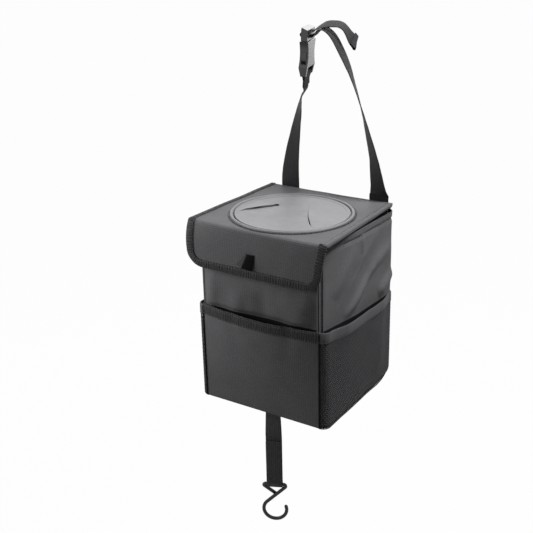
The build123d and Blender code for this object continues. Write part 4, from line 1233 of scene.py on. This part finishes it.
class TRASHBIN_OT_membrane(TrashBinStep):
    """Moulds the slit rubber membrane and its rim"""

    bl_idname = "trash_bin.membrane"
    bl_label = "Membrane"

    def build(self, settings):
        rubber = finish("rubber_compression_moulded")
        # Half widths of the slits in millimetres, by the share of their length
        gape = settings.rubber.gape / MM
        left = slit_hole(SLITS[0], [
            (0, 0.1), (0.1, 0.5 * gape), (0.25, gape), (0.45, 0.25), (0.62, 0.3),
            (0.85, 1.1 * gape), (1, 2 * gape),
        ])
        right = slit_hole(SLITS[1], [(0, 0.08), (0.5, 0.2), (0.8, 0.45 * gape), (1, 0.1)])
        punched = circle(SLITS[0][-1] + PUNCHED_AT, PUNCHED_RADIUS, 18)
        pattern = cut_pattern(circle((0, 0), SKIN_RADIUS, 160), [left, right, punched], 1.7 * MM)
        skin = sheet_piece("membrane_skin", disc_surface, *pattern, 1.4 * MM, rubber)
        seat(skin, "lid", "rubber", "membrane")
        seat(rim_ring("membrane_rim", RIM_SECTION, rubber), "lid", "rubber")
        # Painted shadow: a dark tape ring round the rim stands in for the shadow line under it
        tape = rim_ring("membrane_painted_shadow_ring", RIM_SHADOW_SECTION, finish("polyester_grosgrain_woven"))
        seat(tape, "lid", "binding_tape")


class TRASHBIN_OT_edge_tape(TrashBinStep):
    """Folds the edge tape over the lid's sides and the flap, and stitches it down"""

    bl_idname = "trash_bin.edge_tape"
    bl_label = "Edge tape"

    def build(self, settings):
        cloth = settings.cloth
        outline = lid_outline()
        side_run = np.linalg.norm(outline[1] - outline[0])

        def section(distance):
            """Narrower and round the board on the lid's left side, wider on the flap."""
            on_lid = 1 - float(step_up(np.array(distance), side_run - 8 * MM, side_run + 4 * MM))
            return folded(distance, width=cloth.tape_width - 3.3 * MM * on_lid, over=cloth.tape_thickness,
                          under=(2.0 + 2.8 * on_lid) * MM, ripple=0.4 * MM)

        grosgrain = finish("polyester_grosgrain_woven")
        tape = run_tape("lid_edge_tape", lid_surface, outline[:-1], section, grosgrain)
        bridge(tape, ("lid", "flap"), FOLD_LINE, "binding_tape", "lid_binding", "flap_binding")
        # The lid's right edge is bound in its own cloth
        edge = [outline[-2] - (0, 2 * MM), 0.985 * outline[-1] + 0.015 * outline[-2]]
        turned = partial(folded, width=4.6 * MM, over=1.0 * MM, under=4.8 * MM, ripple=0.1 * MM)
        binding = run_tape("lid_right_binding", lid_surface, edge, turned, finish("polyester_oxford_woven"))
        seat(binding, "lid", "binding_tape")
        stitches = sew("lid_right_stitches", lid_surface, edge, inset=5.6 * MM, lift=0.1 * MM)
        seat(stitches, "lid", "binding_tape")
        for name, line, inset in (
            ("lid_left_stitches", outline[:2], 4.8 * MM),
            ("flap_stitches", outline[1:-1], cloth.tape_width - 1.6 * MM),
        ):
            stitches = sew(name, lid_surface, line, inset, cloth.tape_thickness + 0.1 * MM)
            bridge(stitches, ("lid", "flap"), FOLD_LINE, "binding_tape")


class TRASHBIN_OT_closure(TrashBinStep):
    """Sews the hook-and-loop tapes and the folded pull tab"""

    bl_idname = "trash_bin.closure"
    bl_label = "Closure"

    def build(self, settings):
        pile = finish("nylon_touch_tape_napped")
        step, loop = 1.3 * MM, 1.1 * MM
        low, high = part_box("flap_hook_tape")
        middle = -(FOLD_RADIUS * FOLD_TURN + (LID_TOP_Z - FOLD_RADIUS - (low.z + high.z) / 2))
        half = (high.x - low.x) / 2
        coords, faces = cloth_grid((-half, half), (middle - 7.5 * MM, middle + 7.5 * MM), step)
        nap = 0.25 * MM * soft_noise(coords, size=loop, seed=0.0)
        top, bottom = lifted(lid_surface, coords, -1.2 * MM), lifted(lid_surface, coords, -2.6 * MM + nap)
        hooks = layered("flap_touch_tape", top, bottom, coords, faces, pile)
        seat(hooks, "flap", "touch_tape", "flap_hook_tape")
        low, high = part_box("front_loop_tape")
        coords, faces = cloth_grid((low.x, high.x), (low.z, high.z), step)
        nap = 0.25 * MM * soft_noise(coords, size=loop, seed=5 / loop)
        top = body_point(coords, FRONT_Y - low.y - 0.3 * MM + nap)
        bottom = body_point(coords, np.full(len(coords), 0.2 * MM))
        loops = layered("front_touch_tape", top, bottom, coords, faces, pile)
        seat(loops, "bin", "touch_tape", "front_loop_tape")
        coords, faces = cloth_grid((0, 1), (0, 1), 1 / 16)
        webbing = finish("polypropylene_webbing_woven")
        tab = sheet_piece("pull_tab_loop", tab_surface, coords * TAB_SIZE, faces, 0.9 * MM, webbing)
        # Painted shade: the tab's face to the right of its ridge takes the black loop tape's finish, which
        # stands in for its shadow
        tab.data.materials.append(pile)
        ridge_top, ridge_foot = TAB_TOP[1], TAB_FOOT[1]
        slant = (ridge_foot[0] - ridge_top[0]) / (ridge_foot[2] - ridge_top[2])
        for face in tab.data.polygons:
            ridge_x = ridge_top[0] + slant * (face.center.z - ridge_top[2])
            face.material_index = int(face.center.x > ridge_x)
        seat(tab, "flap", "webbing", "pull_tab")


class TRASHBIN_OT_front_pocket(TrashBinStep):
    """Sews the slack front pocket and its taped mouth"""

    bl_idname = "trash_bin.front_pocket"
    bl_label = "Front pocket"

    def build(self, settings):
        cloth = settings.cloth
        step = 2.2 * MM
        grid = cloth_grid((-SEAM_X, SEAM_X), (FLOOR_Z + 1.2 * MM, POCKET_TOP_Z), step)
        oxford, lining = finish("polyester_oxford_woven"), finish("black_tape_and_painted_shade")
        pouch = sheet_piece("front_pouch", pocket_surface, *grid, cloth.thickness, oxford)
        seat(pouch, "bin", "oxford_cloth", "front_pocket")
        # Painted shade: a black sheet on the panel behind the pocket's mouth stands in for the shadow inside
        # the pocket
        half = SEAM_X - 4 * MM
        grid = cloth_grid((-half, half), (POCKET_TOP_Z - 60 * MM, POCKET_TOP_Z + 1 * MM), step)
        facing = sheet_piece("front_pouch_painted_shade", wall_surface, *grid, 0.3 * MM, lining, 0.4 * MM)
        seat(facing, "bin", "liner_film")
        mouth = [(SEAM_X, POCKET_TOP_Z), (-SEAM_X, POCKET_TOP_Z)]
        band = partial(folded, width=13 * MM, over=cloth.tape_thickness, under=cloth.thickness + 0.5 * MM,
                       ripple=0.25 * MM)
        tape = run_tape("front_pouch_tape", pocket_surface, mouth, band, finish("polyester_grosgrain_woven"))
        seat(tape, "bin", "binding_tape", "front_pocket_binding")
        for name, inset in (("front_pouch_stitches", 11.4 * MM), ("front_pouch_top_stitches", 2.0 * MM)):
            stitches = sew(name, pocket_surface, mouth, inset, cloth.tape_thickness + 0.1 * MM)
            seat(stitches, "bin", "binding_tape")


class TRASHBIN_OT_net_pockets(TrashBinStep):
    """Knits the two side net pockets and their hems"""

    bl_idname = "trash_bin.net_pockets"
    bl_label = "Net pockets"

    def build(self, settings):
        net = settings.net
        yarn, lining = finish("polyester_net_knitted"), finish("black_tape_and_painted_shade")
        coords, faces = hexagon_net((SEAM_X, BACK_SEAM), (FLOOR_Z + 1 * MM, HEM_LOW.z + 2 * MM), net.cell)
        mesh = strands(make_piece("right_net", net_surface(coords), faces, coords, yarn), net.strand)
        seat(mesh, "bin", "net", "right_mesh_pocket")
        # The mouth falls a little towards the back
        mouth = [(along, NET_TOP_Z - 8 * MM * (along - SEAM_X) / (BACK_SEAM - SEAM_X))
                 for along in np.linspace(BACK_SEAM, SEAM_X, 60)]
        band = partial(folded, width=NET_TOP_Z - HEM_LOW.z, over=0.75 * MM, under=0.75 * MM, ripple=0.12 * MM)
        hem = run_tape("right_net_hem", net_surface, mouth, band, yarn)
        seat(hem, "bin", "binding_tape", "right_mesh_hem")
        # Painted shade: a black strip on the wall behind the mouth stands in for the shadow inside the
        # pocket; black tape covers the net's front edge
        strip = bead(6.3, foot=5.7, top=5.7, low=0.2, high=0.6)
        facing = run_tape("right_net_painted_shade", wall_surface, mouth, strip, lining)
        edge = [(SEAM_X + 0.4 * MM, FLOOR_Z + 2 * MM), (SEAM_X + 0.4 * MM, NET_TOP_Z - 1 * MM)]
        cord = bead(0, foot=0.8, top=0.6, low=0.3, high=1.2)
        seam = run_tape("right_net_seam", net_surface, edge, cord, lining)
        stitches = sew("right_net_stitches", net_surface, mouth, inset=11.5 * MM, lift=0.8 * MM)
        for piece in (facing, seam, stitches):
            seat(piece, "bin", "binding_tape")
        seat(mirrored(mesh, "left_net"), "bin", "net", "left_mesh_pocket")
        seat(mirrored(hem, "left_net_hem"), "bin", "binding_tape", "left_mesh_hem")
        for piece, name in (
            (stitches, "left_net_stitches"), (facing, "left_net_painted_shade"), (seam, "left_net_seam"),
        ):
            seat(mirrored(piece, name), "bin", "binding_tape")


class TRASHBIN_OT_straps(TrashBinStep):
    """Weaves the two hanging straps and the strap under the bin"""

    bl_idname = "trash_bin.straps"
    bl_label = "Straps"

    def build(self, settings):
        webbing, woven = settings.webbing, finish("polypropylene_webbing_woven")
        left = headed(LEFT_RISE)
        left.append((at_buckle(-59, 0), headed([(0, 0, 0, -69)])[0][1]))
        left += doubled(at_buckle(-38, 0), -BUCKLE_UPWARD, BUCKLE_OUTWARD, -BUCKLE_ACROSS, 3.0 * MM, 16 * MM)
        strap = weave_strap("left_hanging_strap", left, webbing.hang_width, woven)
        seat(strap, "bin", "webbing", "left_strap")
        # Threaded through the plug's ladder bars: down behind the first, round it and out
        ladder = [(5.0, 8.0), (4.4, 5.4)]
        ladder += [(6.9 - 2.5 * math.cos(angle), -3.9 - 2.5 * math.sin(angle)) for angle in HALF_TURN]
        ladder.append((9.4, 5.4))
        right = headed(RIGHT_RISE) + [(at_buckle(up, out), BUCKLE_ACROSS) for up, out in ladder]
        right += [(np.array(centre) * MM, across) for centre, across in TAIL]
        (before, _), (end, across) = right[-2:]
        onward = (end - before) / np.linalg.norm(end - before)
        upper = np.cross(onward, across)
        upper /= np.linalg.norm(upper)
        right += [(end + (onward * forth + upper * over) * MM, across) for forth, over in TAIL_FOLD]
        strap = weave_strap("right_hanging_strap", right, webbing.hang_width, woven, 1.4 * MM)
        slack = ((0.0643, 0.0007, -0.186), (0.0412, 0.0009, -0.0874))
        bridge(strap, ("bin", "plug"), slack, "webbing", "right_strap", "right_strap_foot")
        face = np.cross(HOOK_ACROSS, (0, 0, 1))
        bottom = headed(BOTTOM_DROP) + doubled(HOOK_BAR, (0, 0, 1), face, HOOK_ACROSS, 2.98 * MM, 62 * MM)
        # The strap under the bin takes the lighter copy of the webbing, painted light
        woven = finish("bottom_webbing_painted_light")
        strap = weave_strap("bottom_hook_strap", bottom, webbing.bottom_width, woven)
        seat(strap, "bin", "webbing", "bottom_strap")


class TRASHBIN_OT_hardware(TrashBinStep):
    """Gives the buckle and the wire hook their finishes"""

    bl_idname = "trash_bin.hardware"
    bl_label = "Hardware"

    def build(self, settings):
        refinish("buckle_socket", "acetal_injection_moulded")
        refinish("buckle_plug", "acetal_injection_moulded")
        refinish("s_hook", "steel_wire_plastic_dipped")


def white_when_seen(tree, plain, white, share=1.0):
    """Shader mix that is white, by this share, to the camera, in mirrors and through glass."""
    path = add_node(tree, "ShaderNodeLightPath", {})
    seen = (path, "Is Camera Ray")
    for ray in ("Is Glossy Ray", "Is Transmission Ray"):
        links = {0: seen, 1: (path, ray)}
        seen = (add_node(tree, "ShaderNodeMath", {"operation": "MAXIMUM"}, links), "Value")
    if share < 1:
        seen = (add_node(tree, "ShaderNodeMath", {"operation": "MULTIPLY", 1: share}, {0: seen}), "Value")
    return add_node(tree, "ShaderNodeMixShader", {}, {0: seen, 1: (plain, 0), 2: (white, 0)}), 0


def soft_lamp(name, place, target, size, power):
    """Large square lamp that faces a point."""
    data = bpy.data.lights.new(name, "AREA")
    data.size = size
    data.energy = power
    lamp = link_piece(name, data)
    lamp.location = place
    lamp.visible_camera = False
    lamp.rotation_euler = (Vector(target) - Vector(place)).to_track_quat("-Z", "Y").to_euler()


class TRASHBIN_OT_stage(TrashBinStep):
    """Sets the camera, the soft studio light, the white surround and the floor"""

    bl_idname = "trash_bin.stage"
    bl_label = "Stage"

    def build(self, settings):
        stage, scene = settings.stage, bpy.context.scene
        white = {"Color": hex_linear("#ffffff"), "Strength": 1.0}
        camera = bpy.data.cameras.new("photo_camera")
        camera.lens = 61.90
        camera.sensor_width = 36
        camera.dof.use_dof = False
        viewer = link_piece("photo_camera", camera)
        # Fitted to the photograph's box edges: columns are right, up, back and the place
        viewer.matrix_world = Matrix((
            (0.8393, -0.1782, 0.5137, 0.5277), (0.5432, 0.3144, -0.7785, -0.9485),
            (-0.0227, 0.9324, 0.3607, 0.1349), (0, 0, 0, 1),
        ))
        scene.camera = viewer
        scene.view_settings.view_transform = "Standard"
        world = bpy.data.worlds.new("white_surround")
        scene.world = world
        world.use_nodes = True
        tree = world.node_tree
        tree.nodes.clear()
        fill = add_node(tree, "ShaderNodeBackground", {**white, "Strength": 0.02})
        surround = add_node(tree, "ShaderNodeBackground", white)
        add_node(tree, "ShaderNodeOutputWorld", {}, {"Surface": white_when_seen(tree, fill, surround)})
        # Painted studio floor: dull and pale, close to white for the camera so that only a faint shadow stays
        tree, shader = start_material(
            "studio_floor_painted", {"Base Color": stage.floor_colour, "Roughness": 0.9}
        )
        glow = add_node(tree, "ShaderNodeEmission", white)
        output = next(node for node in tree.nodes if node.type == "OUTPUT_MATERIAL")
        connect(tree, output, {"Surface": white_when_seen(tree, shader, glow, share=0.98)})
        level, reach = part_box("s_hook")[0].z - stage.floor_drop, 12
        spread = np.array([(-reach, -reach), (reach, -reach), (reach, reach), (-reach, reach)])
        corners = np.column_stack([spread, np.full(len(spread), level)])
        floor = make_piece("studio_floor", corners, [(0, 1, 2, 3)], spread, finish("studio_floor_painted"))
        middle, front = (0, -0.08, -0.25), (0, -0.15, -0.28)
        soft_lamp("back_softbox", (-0.72, 1.0, 0.42), middle, 1.7, stage.key_power)
        # The left lamp is small and close, so it takes a small share of the right one's power
        soft_lamp("left_softbox", (-0.36, -0.36, -0.15), front, 0.3, 0.108 * stage.side_power)
        soft_lamp("right_softbox", (0.56, 0.0, 0.72), middle, 0.4, stage.side_power)


class TRASHBIN_PT_panel(bpy.types.Panel):
    """Sidebar panel with the bin's settings and steps"""

    bl_idname = "TRASHBIN_PT_panel"
    bl_label = "Trash bin"
    bl_space_type = "VIEW_3D"
    bl_region_type = "UI"
    bl_category = "Trash bin"

    def draw(self, context):
        settings = context.scene.trash_bin
        for group in (settings.cloth, settings.net, settings.webbing, settings.rubber, settings.stage):
            box = self.layout.box()
            for name in group.__annotations__:
                box.prop(group, name)
        for operator in OPERATORS:
            self.layout.operator(operator.bl_idname)


OPERATORS = (
    TRASHBIN_OT_finishes, TRASHBIN_OT_box_cloth, TRASHBIN_OT_liner, TRASHBIN_OT_boards, TRASHBIN_OT_lid,
    TRASHBIN_OT_membrane, TRASHBIN_OT_edge_tape, TRASHBIN_OT_closure, TRASHBIN_OT_front_pocket,
    TRASHBIN_OT_net_pockets, TRASHBIN_OT_straps, TRASHBIN_OT_hardware, TRASHBIN_OT_stage,
)
CLASSES = (
    TrashBinCloth, TrashBinNet, TrashBinWebbing, TrashBinRubber, TrashBinStage, TrashBinSettings, *OPERATORS,
    TRASHBIN_PT_panel,
)


def register():
    """Registers the add-on and its settings."""
    for kind in CLASSES:
        bpy.utils.register_class(kind)
    bpy.types.Scene.trash_bin = bpy.props.PointerProperty(type=TrashBinSettings)


def unregister():
    """Removes the add-on and its settings."""
    del bpy.types.Scene.trash_bin
    for kind in reversed(CLASSES):
        bpy.utils.unregister_class(kind)


def main():
    """Registers the add-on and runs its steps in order."""
    register()
    bpy.ops.trash_bin.finishes()
    bpy.ops.trash_bin.box_cloth()
    bpy.ops.trash_bin.liner()
    bpy.ops.trash_bin.boards()
    bpy.ops.trash_bin.lid()
    bpy.ops.trash_bin.membrane()
    bpy.ops.trash_bin.edge_tape()
    bpy.ops.trash_bin.closure()
    bpy.ops.trash_bin.front_pocket()
    bpy.ops.trash_bin.net_pockets()
    bpy.ops.trash_bin.straps()
    bpy.ops.trash_bin.hardware()
    bpy.ops.trash_bin.stage()


if __name__ == "__main__":
    main()
